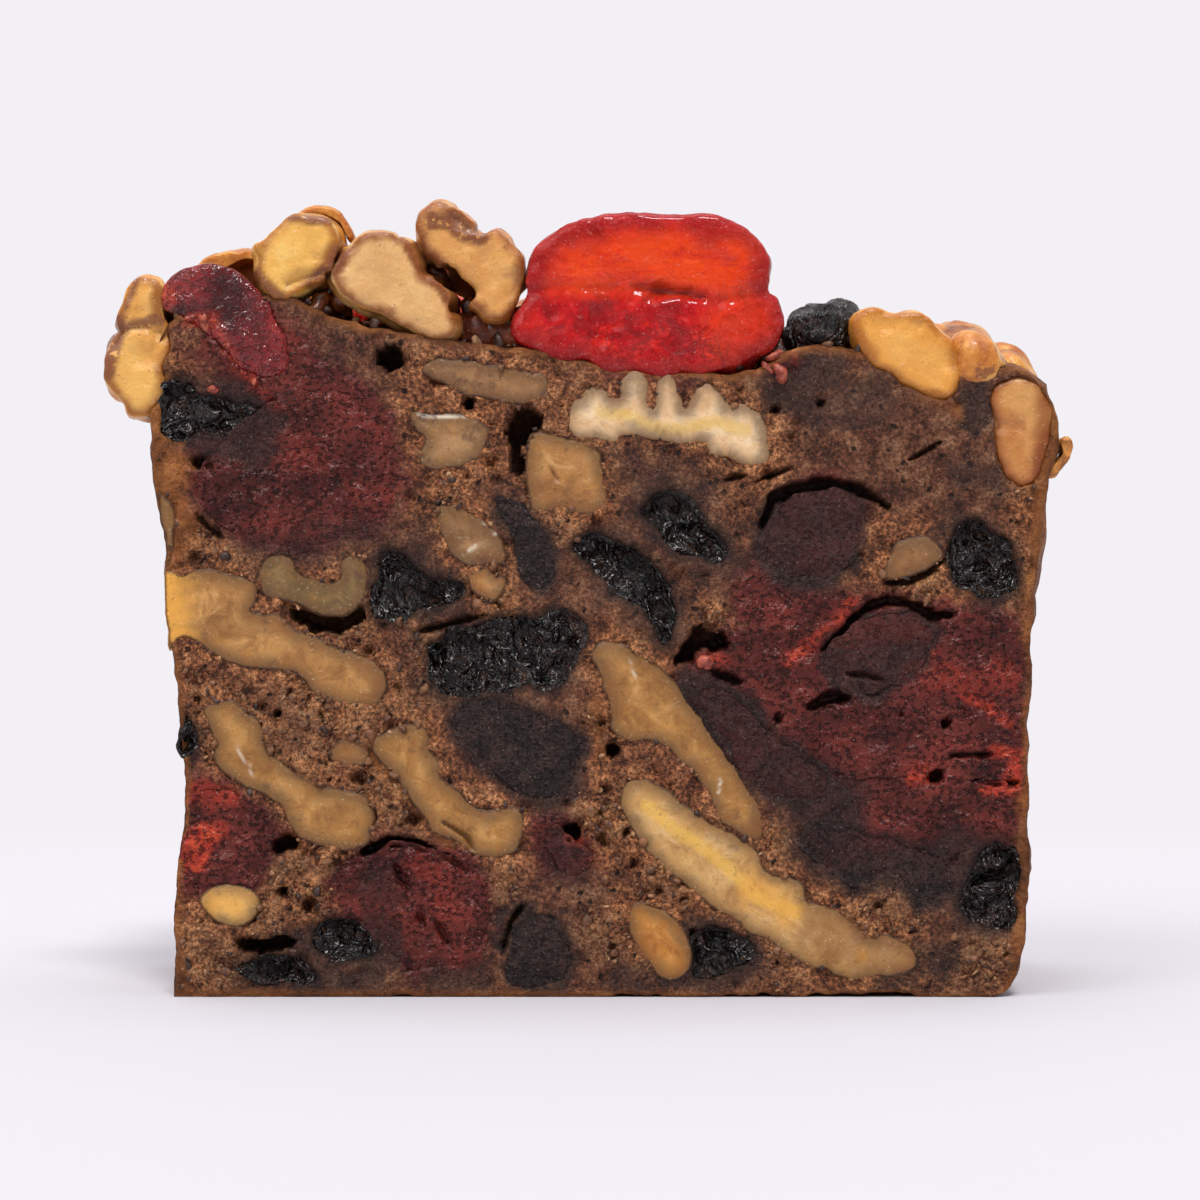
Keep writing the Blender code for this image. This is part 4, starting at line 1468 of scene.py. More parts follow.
PATCHES = {
    "red": (
        ((-32.6, 11.6, -31.8, 13.2), 2.4), ((-30.4, 14), 1.5, 0.6),
        ((-33.2, 17.2, -30, 16.6), 2.4, 0.6, 1.6), ((31.8, 24.9, 33.6, 24.3, 35.2, 22.9), 0.8),
        ((34.2, 20.5, 36.4, 20.3), 0.8), ((35.9, 19.2, 35.7, 18.2), 1.6),
        ((33.2, 17.3, 36.2, 17.3), 0.7), ((27.5, 18.2, 28.5, 18.7), 1.3, 0.8),
        ((-14.2, 11.2, -11.8, 10, -11.4, 7.6), 2, 0.25, 1.2),
        ((17.2, 28, 19.6, 29.9, 21.4, 31.5, 22.6, 33.2), 1.2, 0.7),
        ((21.6, 31, 28.8, 30.6), 2.6, 0.4, 1.4),
        ((-30.6, 55.8, -28.8, 52.6, -25.8, 49.2), 0.9, 0.6), ((-32.8, 56.5, -31, 56.3), 1.1),
        ((-34.9, 59.2, -34.5, 57.9), 1.2), ((9.2, 28.2, 11.4, 27.9), 1.4, 0.8),
        ((28, 26.8, 30.6, 26.4), 3, 0.3), ((32.5, 25.8, 35, 26.8), 2.6, 0.3),
        ((29, 28.2, 29.3, 29.2), 0.7, 0.7), ((-26, 46, -22.4, 45), 2.8, 0.15, 2.4),
        ((-1.2, 13.2, -0.4, 13), 0.7, 0.8), ((15.4, 53.4, 17.2, 53), 1.8, 0.6),
    ),
    "stain": (
        ((-29, 45, -25, 42.5, -20, 43), 11, 1, 3, 0.1),
        ((-28.5, 54.5, -22.5, 49.5), 8, 1, 2.5, 0.15), ((-17, 47.5, -17, 42), 4, 0.3, 3),
        ((-34.2, 56, -31.4, 52.8), 3.6, 0.7, 1.8), ((14, 24.5, 22, 20.5, 33, 20), 13.5, 1, 3, 0.1),
        ((17.5, 30, 33, 28), 9.5, 1, 2, 0.1), ((15.8, 33, 20, 40), 7.4, 1, 2.5, 0.1),
        ((-31, 13.4, -30, 10.8), 6.4, 1, 1.6, 0.15), ((-17, 9, -12, 7), 8.8, 1, 1.6, 0.1),
        ((22, 14, 33, 14), 6, 1, 2.5), ((-10, 3.4, -8.4, 6.6), 4, 0.6, 2),
        ((2, 52.6, 9, 51.4), 2.4, 0.7), ((15.2, 53.2, 17.4, 52.6), 3, 0.9, 1.6),
        ((-33.6, 20.6, -33, 17), 2.6, 0.7, 1.6),
    ),
    "dusk": (
        ((9.6, 25.6, 13, 21.4, 17, 17.6, 21, 15.6), 5.6, 0.8, 2.5, 0.15),
        ((19, 12.6, 24, 11.6, 30, 9.8), 4.8, 0.8, 1.8, 0.2), ((4, 44.4, 9.6, 43), 4.6, 0.5, 2.5),
        ((-4.6, 5.4, -3.6, 2.6), 5.2, 0.9, 1), ((-5.6, 40.6, -3.8, 35.6), 4.4, 0.45, 2.5, 0.2),
        ((23.6, 28.4, 26.4, 27.6), 5.4, 0.25, 2, 0.1),
        ((18, 38.2, 20.4, 38.2), 7.4, 0.75, 1.4, 0.1), ((25.6, 1.6, 29.6, 3.4), 3.4, 0.75, 1.5),
        ((17, 50.6, 19.8, 52), 4.6, 0.75, 1.5), ((-23, 3.4, -17.6, 4.4), 5, 0.7, 1.4, 0.2),
        ((9.6, 4.6, 13, 3.4), 5, 0.8, 1.5, 0.2), ((-33.8, 22.6, -33.6, 19), 2.4, 0.7, 1.2),
        ((-33.2, 48.6, -28, 47.6), 6.6, 0.75, 1.5, 0.15),
        ((32.4, 50.2, 32.6, 48.4), 2.6, 0.8, 0.8), ((31.8, 43.8, 34.2, 42.8), 2.6, 0.6, 1.2),
        ((31.6, 10.8, 34, 8), 6.6, 0.8, 1.6, 0.1), ((-6.2, 21.8, -4.2, 20.4), 7.4, 0.8, 1.6, 0.1),
        ((-8, 28.4, -3.4, 28.8), 7, 0.7, 2, 0.15), ((2, 36.8, 6.4, 31.8), 5.4, 0.6, 2),
        ((5.4, 41, 11, 37.2), 5, 0.6, 2), ((-16, 35, -12.2, 33.6), 5.6, 0.7, 1.6),
        ((31.4, 38, 34.8, 35.6), 5.6, 0.7, 1.6), ((-1.9, 12.2, -0.8, 10.2), 3.2, 0.5, 1.4),
        ((-17.6, 9.4, -17, 7.4), 3.6, 0.4, 1.4), ((-27, 36.6, -18, 37.6), 4, 0.5, 1.6),
        ((-13.6, 37.4, -13.4, 38.6), 3, 0.6, 1.4), ((-13.6, 26, -12, 24.6), 2.6, 0.5, 1.4),
        ((3.6, 43.8, 5.6, 43.2), 3.4, 0.5, 1.4), ((-24, 1.4, -18, 1.6), 3, 0.8, 1.4),
        ((-12, 1.2, -8.6, 1.6), 3, 0.7, 1.4), ((20, 48.6, 24.6, 49.6), 4, 0.6, 1.8),
        ((3, 1.4, 12, 1.6), 3, 0.7, 1.4),
    ),
    "warm": (
        ((-35.6, 50, -34.6, 37), 4.6, 1, 3), ((-33.8, 29, -33.4, 1), 4, 0.8, 3),
        ((38.6, 48, 37.6, 34), 5, 1, 3), ((37.2, 16, 36.4, 2), 4, 0.8, 3),
        ((-33, 1.2, 35, 1.2), 3.4, 0.15, 2.5), ((1.4, 12.4, 1.8, 17.4), 3.4, 1, 1.6),
        ((1.4, 20, 2, 23.4), 2.6, 1, 1.4), ((-24, 8.4, -21, 8), 4.4, 1, 2),
        ((-32.2, 38.6, -30.6, 36.4), 4, 1, 2), ((-32.8, 26.4, -29.6, 24.8), 3.4, 1, 1.6),
        ((23.6, 37, 30, 34.6), 6.6, 0.9, 3), ((10.6, 31.4, 13, 30.8), 3.6, 1, 1.4),
        ((-1, 52, -12, 54), 2.6, 0.5, 2), ((12.6, 42.6, 13.4, 39), 3, 0.5, 2),
        ((-33.4, 53.4, -30.8, 52.6), 5, 0.9, 2),
    ),
    "crust": (
        ((-36.4, 50, -35.6, 44, -35, 38.6), 4.4, 0.9, 2), ((-34.6, 3, -34.2, 0.6), 2.6, 0.8),
        ((38.1, 42, 37.8, 35, 37.6, 29.6), 1.8, 0.85, 1.2),
        ((39.6, 47.8, 38.8, 43.6), 2.2, 0.9, 1.2),
        ((-17.4, 20.4, -13.8, 16.6, -11.2, 13.4), 1.6, 0.8, 1.2),
        ((1, 24.4, 1.6, 20.8), 1.2, 0.6, 1.2), ((28.6, 50.2, 31, 48.8), 1.2, 0.6, 1),
        ((37.2, 17, 37, 8, 36, 1.4), 1.6, 0.8, 1), ((-34.6, 24, -33.8, 16.4), 1.4, 0.5),
    ),
    "gold": (
        ((36.4, 50.2, 37.6, 48.4), 2.6, 0.8, 1.2),
        ((-34.8, 34.4, -34.4, 30.6), 3.4, 0.9, 2.4, 0.15), ((14, 9.2, 17, 7.2), 2.2, 0.6, 1.4),
        ((23.2, 3.5), 1, 0.9, 0.6), ((-30.8, 7.8, -28.8, 7.6), 2.2, 0.5, 1.4),
        ((-38, 53.6, -37.2, 50.8), 2.6, 0.7, 1.6), ((25.4, 54.6, 28.8, 52.6), 2.6, 0.5, 2),
    ),
    "toast": (
        ((20, 5.4, 26.8, 3), 4.4, 0.55, 2), ((14.4, 14), 2.6, 0.6, 1.8),
        ((-3.6, 42, 0.6, 41.2), 2, 0.45, 1.6), ((-8.6, 36.4, -7.2, 36.9), 1, 0.6),
        ((2.4, 27.4, 2.6, 23.6), 1.6, 0.4, 1.4), ((-16.6, 24.8, -18.6, 27.6), 1.6, 0.5, 1.4),
        ((-14.4, 62.4, -13, 60.6, -11.4, 58.8, -10.5, 56.8), 1.3, 0.8, 0.3),
        ((22.6, 55.6, 23.8, 53.4), 1.4, 0.7, 1), ((38.4, 49.6, 38, 44), 1.4, 0.7, 1),
        ((-22, 60.6, -20.8, 62.6), 1.4, 0.8, 0.8),
    ),
    "scratch": (
        ((-28.9, 20.9, -28.5, 19.9, -27.9, 19.3, -27.7, 18.4), 0.12, 0.55, 0.2),
        ((-13.8, 48.7, -12, 48.3, -9.8, 48.5), 0.25, 0.8, 0.25),
        ((-9.6, 37.2, -9.1, 37.6), 0.3, 0.6, 0.3), ((-8.3, 39.5, -8, 39.9), 0.2, 0.8, 0.3),
        ((-7.4, 38.7, -7.2, 39.1), 0.3, 0.9, 0.3), ((24.9, 40.3, 25.3, 40), 0.4, 0.9, 0.3),
        ((11.4, 18.2, 11.2, 17), 0.14, 0.7, 0.2), ((3.8, 28, 4.3, 26.6), 0.14, 0.6, 0.2),
    ),
    "skin": (
        ((-38.8, 56.4, -39.8, 52.2), 1.3, 0.95, 0.6), ((-38.6, 55.8, -35.2, 56.6), 0.8, 0.8, 0.4),
        ((-27.4, 60.4, -25.4, 58.5), 0.9, 0.9, 0.5), ((-22.4, 59.4, -20.6, 61.8), 1.6, 0.85, 0.8),
        ((-24.4, 64.9, -21.2, 64.7), 0.7, 0.9, 0.4),
        ((-12.3, 64.7, -10.6, 64.5, -8.8, 63.5), 1.7, 0.95, 0.6),
        ((-13.6, 62.8, -11.8, 60.6), 0.8, 0.85, 0.5), ((-37.4, 60, -38.2, 57.4), 0.6, 0.8, 0.4),
    ),
    "crease": (
        ((-12.6, 60.9, -11.2, 60.2, -10, 58.8, -10.6, 57.6), 1.3, 1.8, 0.6, 0.2, True),
        ((-10.8, 65.2, -9.8, 64.3, -8.2, 64.3), 0.5, 0.7, 0.5),
        ((-15.6, 63.4, -14.2, 61.2, -12.4, 59.4, -10.9, 57.2), 0.3, 0.5, 0.4),
        ((-38.8, 55.6, -36.8, 55.9, -35, 55.2), 0.5, 0.6, 0.5),
        ((-24.8, 59.4, -23.2, 60.2, -21.6, 60.4), 0.6, 0.8, 0.5),
    ),
}
MARKS = {
    "gap": (*itertools.starmap(air_hole, HOLES), *itertools.starmap(crack, CRACKS)),
    "pale": tuple(itertools.starmap(loose_patch, LOOSE_PATCHES)),
    **{name: tuple(itertools.starmap(Stroke, rows)) for name, rows in PATCHES.items()},
}
# The back has no such marks. There, patches of noise stand in for the broad ones: for each the
# level of the noise where it starts and where it is full, the pitch, and the noise's number.
BACK_PATCHES = {
    "red": (0.4, 0.65, 5.0, 71), "stain": (0.12, 0.4, 13.0, 81), "dusk": (0.2, 0.45, 9.0, 91),
    "pale": (-0.1, 0.5, 8.0, 101), "warm": (-0.3, 0.4, 10.0, 111), "toast": (0.2, 0.7, 6.0, 141),
}


def marked(points: np.ndarray, plane: float) -> dict[str, np.ndarray]:
    """What the marks give to places of a cut face.

    Args:
        points: Places (x, z), shape (n, 2).
        plane: The cut face's place in Y.

    Returns:
        For each measure's name, one value for each place.
    """
    places = at(points, plane)
    if plane == BACK:
        found = {name: np.zeros(len(points)) for name in MARKS}
        for name, (start, full, pitch, seed) in BACK_PATCHES.items():
            found[name] = ease(start, full, fractal(places, pitch, 3, seed))
        return found
    wobble = fractal(places, 1.2, 4, 71)
    return {
        name: np.max([stroke.share(points, wobble) for stroke in strokes], axis=0)
        for name, strokes in MARKS.items()
    }


def worn(
    made: bpy.types.Object, finish: Finish, node: Optional[bpy.types.Object], slot: str = ""
) -> bpy.types.Object:
    """Dresses a piece and ties it to the frame.

    Args:
        made: The piece.
        finish: What it wears.
        node: The solid that it stands for, if any.
        slot: A material slot name, or empty for the slot of its solid; it is not used.

    Returns:
        The piece.
    """
    made.data.materials.append(finish.material())
    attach(made, BODY)
    if node:
        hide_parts(node.name)
    slot or Kind.of(node.name).value
    return made


def reach(node: bpy.types.Object) -> tuple[float, float]:
    """Where a solid starts and ends in Y."""
    low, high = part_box(node.name)
    return low.y / MM, high.y / MM


@dataclass
class CutPiece:
    """A nut or fruit that the knife went through.

    Attributes:
        name: Its name.
        kind: What it is.
        finish: Its look.
        node: Its solid. A small piece of the crumb's own has none.
        corners: Corners that its outline runs through, or none for the solid's own outline.
        midline: Corners of the pale line through a kernel, if it shows one.
        exposed: Whether its wall shows in the side of the slice.
        plane: The cut face that its corners lie in.
        spacing: Distance between the points of its cut face.
        shallow: How far in it reaches when it has no solid.
        wall_inset: Distance from each cut face to the first ring of its wall.
        end_inset: Distance from an end inside the crumb to the first ring.
        wall_step: Distance between the rings of its wall.
        exposed_step: The same where the wall shows.
    """

    name: str
    kind: Kind
    finish: Finish
    node: Optional[bpy.types.Object] = None
    corners: Corners = ()
    midline: Corners = ()
    exposed: bool = False
    plane: float = FRONT
    spacing: float = 0.26
    shallow: float = 2.5
    wall_inset: float = 0.8
    end_inset: float = 0.5
    wall_step: float = 4.0
    exposed_step: float = 0.6

    def __post_init__(self) -> None:
        """Works out its outline in both faces, and the two that its wall runs between."""
        self.seed = seed_of(self.name)
        self.relief = RELIEFS[self.kind]
        front, back = self._shaped(FRONT), self._shaped(BACK)
        self.near_line = front or back
        self.far_line = (back or front).like(self.near_line)
        self.faces = {FRONT: front, BACK: back and self.far_line}

    def _shaped(self, plane: float) -> Optional[Outline]:
        """The smooth, slightly wandering outline in one cut face.

        Args:
            plane: The cut face's place in Y.

        Returns:
            The outline, or None if the piece doesn't show there.
        """
        wander = self.relief.wander
        if plane == self.plane and self.corners:
            smooth = Outline.through(self.corners).spaced(self.spacing)
            return smooth.roughened(0.5 * wander, 1.6, self.seed)
        outline = cut_outline(self.node, plane) if self.node else None
        if outline is None:
            return None
        return outline.rounded().spaced(self.spacing).roughened(wander, 2.4, self.seed)

    def _height(self, points: np.ndarray, inward: np.ndarray, plane: float) -> np.ndarray:
        """Height of the cut surface above the plane of the cut.

        Args:
            points: Places (x, z).
            inward: Distance of each from the outline.
            plane: The cut face's place in Y.

        Returns:
            One height for each place.
        """
        places, relief = at(points, plane), self.relief
        dip = ease(relief.rim_width, 0.0, inward)
        height = relief.rise - (relief.rim_drop + relief.rise) * dip
        height += relief.wave * fractal(places, 3.0, 3, self.seed)
        height += relief.grain * fractal(places, 0.8, 2, self.seed + 5)
        if relief.wrinkle:
            folds = fractal(places, relief.wrinkle_pitch, 3, self.seed + 9, folded=True)
            height -= relief.wrinkle * (1.0 - folds) * ease(0.1, 0.8, inward)
        return height

    def _end(self, draft: Draft, outline: Outline, plane: float) -> np.ndarray:
        """Closes one end of the piece.

        Args:
            draft: The piece in the making.
            outline: The end's outline.
            plane: The cut face that this end lies in or points to.

        Returns:
            The numbers of its rim.
        """
        if self.faces[plane] is None:
            depth = self._ends()[int(plane == BACK)]
            return draft.cap(outline.sized(0.8), self.spacing * 3, depth, plane == BACK)
        points, triangles = filled(outline, self.spacing)
        inward = -outline.distance(points)
        marks = marked(points, plane)
        sunk = (0.6 * marks["gap"] + 0.5 * marks["crease"]) * ease(0.1, 0.7, inward)
        depth = plane + np.sign(plane) * (self._height(points, inward, plane) - sunk)
        core = 1.0 - ease(0.15, 1.3, followed(points, self.midline)[0]) if self.midline else 0.0
        numbers = draft.add(at(points, depth), inward=inward, core=core, **marks)
        draft.fill(numbers[triangles], plane == BACK)
        return numbers[: len(outline.corners)]

    def _ends(self) -> tuple[float, float]:
        """Where the piece starts and ends in Y."""
        if self.node:
            return reach(self.node)
        return (FRONT, FRONT + self.shallow) if self.faces[FRONT] else (BACK - self.shallow, BACK)

    def build(self) -> bpy.types.Object:
        """Builds the closed piece in place of its solid."""
        draft = Draft("inward", "core", *MARKS)
        low, high = self._ends()
        near = FRONT + self.wall_inset if self.faces[FRONT] else low + self.end_inset
        far = BACK - self.wall_inset if self.faces[BACK] else high - self.end_inset
        ring = self._end(draft, self.near_line, FRONT)
        step = self.exposed_step if self.exposed else self.wall_step
        steps = max(2, round((far - near) / step))
        for share in np.linspace(0.0, 1.0, steps + 1):
            corners = (1 - share) * self.near_line.corners + share * self.far_line.corners
            places = at(corners, near + share * (far - near))
            if self.exposed:
                bulge = 0.22 * fractal(places, 2.6, 3, self.seed + 2)
                places[:, [0, 2]] += Outline(corners).normals() * bulge[:, None]
            ring = draft.bridge(ring, draft.add(places, inward=2.0, gold=0.4))
        draft.bridge(ring, self._end(draft, self.far_line, BACK))
        return worn(draft.made("cut_" + self.name), self.finish, self.node, self.kind.value)


# ---------------------------------------------------------------------------------------------
# The crumb
# ---------------------------------------------------------------------------------------------

# For each kind of piece, what the crumb round it takes on: the measure, how far, how strongly
# and how unevenly.
HALOS = {
    Kind.WALNUT: ("warm", 3.2, 0.85, 0.8),
    Kind.ALMOND: ("warm", 2.6, 0.9, 0.6),
    Kind.RAISIN: ("shade", 0.7, 0.75, 0.4),
    Kind.PRUNE: ("dusk", 1.1, 0.9, 0.7),
    Kind.DARK_CHERRY: ("stain", 1.8, 1.0, 0.8),
}


@dataclass
class Crumb:
    """The cake itself: one closed mesh with two cut faces, baked sides and a sticky top.

    Attributes:
        node: Its solid.
        pieces: The cut pieces, whose beds it holds.
        sunk: Outlines of topping pieces that sit in its front face.
        finish: Its look.
        columns: Number of faces across the front.
        rows: Number of faces up the front.
        side_step: Distance between the rings along the sides.
        fine_rings: How far behind the front the rings lie that have all of its edge's points.
        left_edge: Corners of the left edge of a cut face, from the bottom up.
        top_edge: Corners of its top edge, from the left.
        right_edge: Corners of its right edge, from the bottom up.
    """

    node: bpy.types.Object
    pieces: Sequence[CutPiece]
    sunk: Sequence[Outline] = ()
    finish: Finish = CrumbFinish("crumb_cut_cold")
    columns: int = 260
    rows: int = 188
    side_step: float = 0.6
    fine_rings: tuple[float, ...] = (0.25, 0.6)
    left_edge: Corners = (-34.2, 0, -34, 8, -33.5, 16.5, -34.1, 25, -34.7, 31.5, -35.1, 38,
                          -36, 45.5, -36.3, 50, -35.4, 54.5)
    top_edge: Corners = (-35.4, 54.5, -33.6, 57.2, -30, 57.4, -25.6, 58.7, -20.5, 56.6,
                         -15.3, 55.4, -9.5, 54.4, -3.7, 53.9, 1.5, 52.9, 9.7, 52, 14.6, 52.6,
                         18, 54.2, 22.2, 54.1, 26.5, 52.6, 31, 51.9, 35.5, 52.6, 38.4, 50.9)
    right_edge: Corners = (34.2, 0, 35.6, 0.9, 36.9, 4.6, 36.9, 8.1, 37.2, 16.4, 37.1, 22.3,
                           37.5, 29.8, 37.9, 37.3, 38.8, 43.5, 39.7, 47.7, 38.4, 50.9)

    def borders(self, columns: int, rows: int, seed: int) -> list[np.ndarray]:
        """The four border lines of a cut face, rough as torn crumb.

        Args:
            columns: Number of faces across.
            rows: Number of faces up.
            seed: Picks the roughness.

        Returns:
            The bottom, right, top and left lines, each an array of places (x, z).
        """
        share = np.linspace(0.0, 1.0, columns + 1)[:, None]
        start, end = pairs(self.left_edge)[0], pairs(self.right_edge)[0]
        bottom = (1 - share) * start + share * end
        lines = [bottom, smooth_line(self.right_edge, rows + 1),
                 smooth_line(self.top_edge, columns + 1), smooth_line(self.left_edge, rows + 1)]
        for line, axis, height in zip(lines, (1, 0, 1, 0), (0.3, 0.32, 0.35, 0.32)):
            fade = ease(0.0, 1.0, edge_steps(len(line)) / 6)
            line[:, axis] += height * fractal(at(line, seed), 3.0, 5, seed) * fade
        bottom[:, 1] = np.maximum(bottom[:, 1] * 1.6 - 0.1, 0.0)
        return lines

    def measures(self, points: np.ndarray, plane: float) -> dict[str, np.ndarray]:
        """What each place of a cut face is stained, shaded and hollowed by, and how dark its gaps
        are painted as shade.

        Args:
            points: Places (x, z), shape (n, 2).
            plane: The cut face's place in Y.

        Returns:
            For each measure's name, one value for each place.
        """
        places = at(points, plane)
        wobble = 1.1 * fractal(places, 3.5, 4, 5)
        found = marked(points, plane)
        found.update({name: np.zeros(len(points)) for name in ("shade", "line", "bed")})
        for piece in self.pieces:
            outline = piece.faces[plane]
            if outline is None:
                continue
            away = outline.distance(points)
            bed = piece.relief.bed * ease(-0.1, -0.6, away)
            name, distance, strength, drift = HALOS[piece.kind]
            halo = strength * (1.0 - ease(0.0, distance, away + drift * wobble))
            rim = 0.6 * ease(0.2, 0.04, np.abs(away + 0.08 * wobble)) * (wobble > 0.0)
            if piece.kind not in (Kind.WALNUT, Kind.ALMOND):
                rim = 0.0
            for measure, values in (("bed", bed), (name, halo), ("line", rim)):
                found[measure] = np.maximum(found[measure], values)
        for outline in self.sunk if plane == FRONT else ():
            found["bed"] = np.maximum(found["bed"], 2.0 * ease(0.1, -0.5, outline.distance(points)))
        # Painted shade in the gaps: the deeper a gap, the darker it is painted.
        found["hollow"] = np.clip(found["gap"] / 1.4, 0.0, 1.0)
        found["clump"] = 0.5 + 0.5 * fractal(places, 1.4, 4, 3)
        found["pore"] = self._pores(places)
        return found

    def _pores(self, places: np.ndarray) -> np.ndarray:
        """Depth of the small air holes.

        Args:
            places: Places, shape (n, 3).

        Returns:
            One depth for each place.
        """
        depths = np.zeros(len(places))
        # The wide holes and then the small ones: their pitch and how deep the deepest are.
        for pitch, full in ((3.4, 1.4), (1.7, 0.8)):
            away, own = scattered(places, pitch, 17)
            away += 0.12 * fractal(places, 0.9, 2, 19)
            size = 0.1 + 0.22 * own**2
            depths = np.maximum(depths, full * ease(size, 0.4 * size, away) * (own > 0.3))
        return depths

    def heights(
        self, points: np.ndarray, plane: float, found: dict[str, np.ndarray]
    ) -> np.ndarray:
        """Height of the crumb above the plane of the cut.

        Args:
            points: Places (x, z).
            plane: The cut face's place in Y.
            found: What measures() found there.

        Returns:
            One height for each place.
        """
        loose = 0.35 + 0.9 * found["pale"] + 0.35 * found["warm"]
        loose = np.clip(loose * (1.0 - 0.6 * np.maximum(found["stain"], found["dusk"])), 0.25, 1.4)
        height = 0.16 * fractal(at(points, plane), 6.0, 3, 2)
        height += 0.34 * (2.0 * found["clump"] - 1.0) * loose
        return height - found["pore"] * loose - found["gap"] - found["bed"]

    def _face(self, draft: Draft, columns: int, rows: int, plane: float) -> np.ndarray:
        """Adds one cut face.

        Args:
            draft: The crumb in the making.
            columns: Number of faces across.
            rows: Number of faces up.
            plane: The cut face's place in Y.

        Returns:
            The numbers round its edge.
        """
        points = patch(*self.borders(columns, rows, 3 if plane == FRONT else 8))
        found = self.measures(points, plane)
        steps = np.minimum.outer(edge_steps(rows + 1), edge_steps(columns + 1)).reshape(-1)
        height = self.heights(points, plane, found) * (0.3 + 0.14 * np.minimum(steps, 5))
        depth = plane + np.sign(plane) * (height - 0.25 * (steps == 0))
        rim = np.select([steps == 0, steps == 1, steps == 2], [0.9, 0.7, 0.35], 0.0)
        found["crust"] = np.maximum(found["crust"], rim)
        faces, edge = grid_numbers(draft.add(at(points, depth), **found), columns, rows)
        draft.fill(faces, plane == BACK)
        return edge

    def _side_ring(self, draft: Draft, line: np.ndarray, depth: float) -> np.ndarray:
        """Adds one ring of the sides.

        Args:
            draft: The crumb in the making.
            line: The ring's places (x, z) without its relief.
            depth: Its place in Y.

        Returns:
            The numbers of its points.
        """
        places = at(line, depth)
        inner = ease(0.0, 1.2, min(depth - FRONT, BACK - depth))
        relief = 0.35 * fractal(places, 3.2, 4, 21) + 0.25 * smooth_noise(places, 9.0, 22)
        # The right side bulges out 38 mm up and 6 mm behind the front.
        bulge = 1.1 * np.exp(-((line[:, 1] - 38.0) / 6.0) ** 2) * (line[:, 0] > 30)
        bulge = bulge * math.exp(-(((depth - FRONT - 6.0) / 5.0) ** 2))
        top = ease(50.0, 54.0, line[:, 1])
        relief = relief * (1.0 + 1.6 * top) + bulge
        places[:, [0, 2]] += Outline(line).normals() * (relief * inner)[:, None]
        bottom = line[:, 1] < 0.6
        places[bottom, 2] = line[bottom, 1] + 0.25 * relief[bottom] * inner
        places[:, 2] = np.maximum(places[:, 2], 0.0)
        # Syrup wets the top, and some fruit and nuts show through the baked sides.
        syrup = top * ease(-0.3, 0.4, fractal(places, 4.0, 3, 27))
        fruit = 0.85 * ease(0.3, 0.42, fractal(places, 7.0, 3, 33)) * inner
        nut = ease(0.36, 0.42, fractal(places, 6.0, 3, 36)) * inner
        baked = np.maximum(inner, ease(24.0, 36.0, line[:, 1])) * ease(0.0, 2.5, line[:, 1])
        baked = (0.3 + 0.6 * baked) * (1.0 - 0.85 * fruit)
        return draft.add(places, crust=baked, syrup=syrup, clump=0.5, warm=1.0,
                         dusk=fruit, pale=nut)

    def build(self) -> bpy.types.Object:
        """Builds the crumb with its two faces and the rings between them."""
        draft = Draft(*CRUMB_MEASURES)
        ring = self._face(draft, self.columns, self.rows, FRONT)
        back = self._face(draft, self.columns // 2, self.rows // 2, BACK)
        placed = np.vstack(draft.points)[:, [0, 2]]
        near_line, far_line = placed[ring], placed[back]
        for inset in self.fine_rings:
            ring = draft.bridge(ring, self._side_ring(draft, near_line, FRONT + inset))
        near_line = near_line[::2]
        start, end = FRONT + self.fine_rings[-1] + self.side_step, BACK - 0.3
        for share in np.linspace(0.0, 1.0, round((end - start) / self.side_step) + 1):
            line = (1 - share) * near_line + share * far_line
            depth = start + share * (end - start)
            ring = draft.bridge(ring, self._side_ring(draft, line, depth))
        draft.bridge(ring, back)
        return worn(draft.made("cake_crumb"), self.finish, self.node)


# ---------------------------------------------------------------------------------------------
# Toppings
# ---------------------------------------------------------------------------------------------


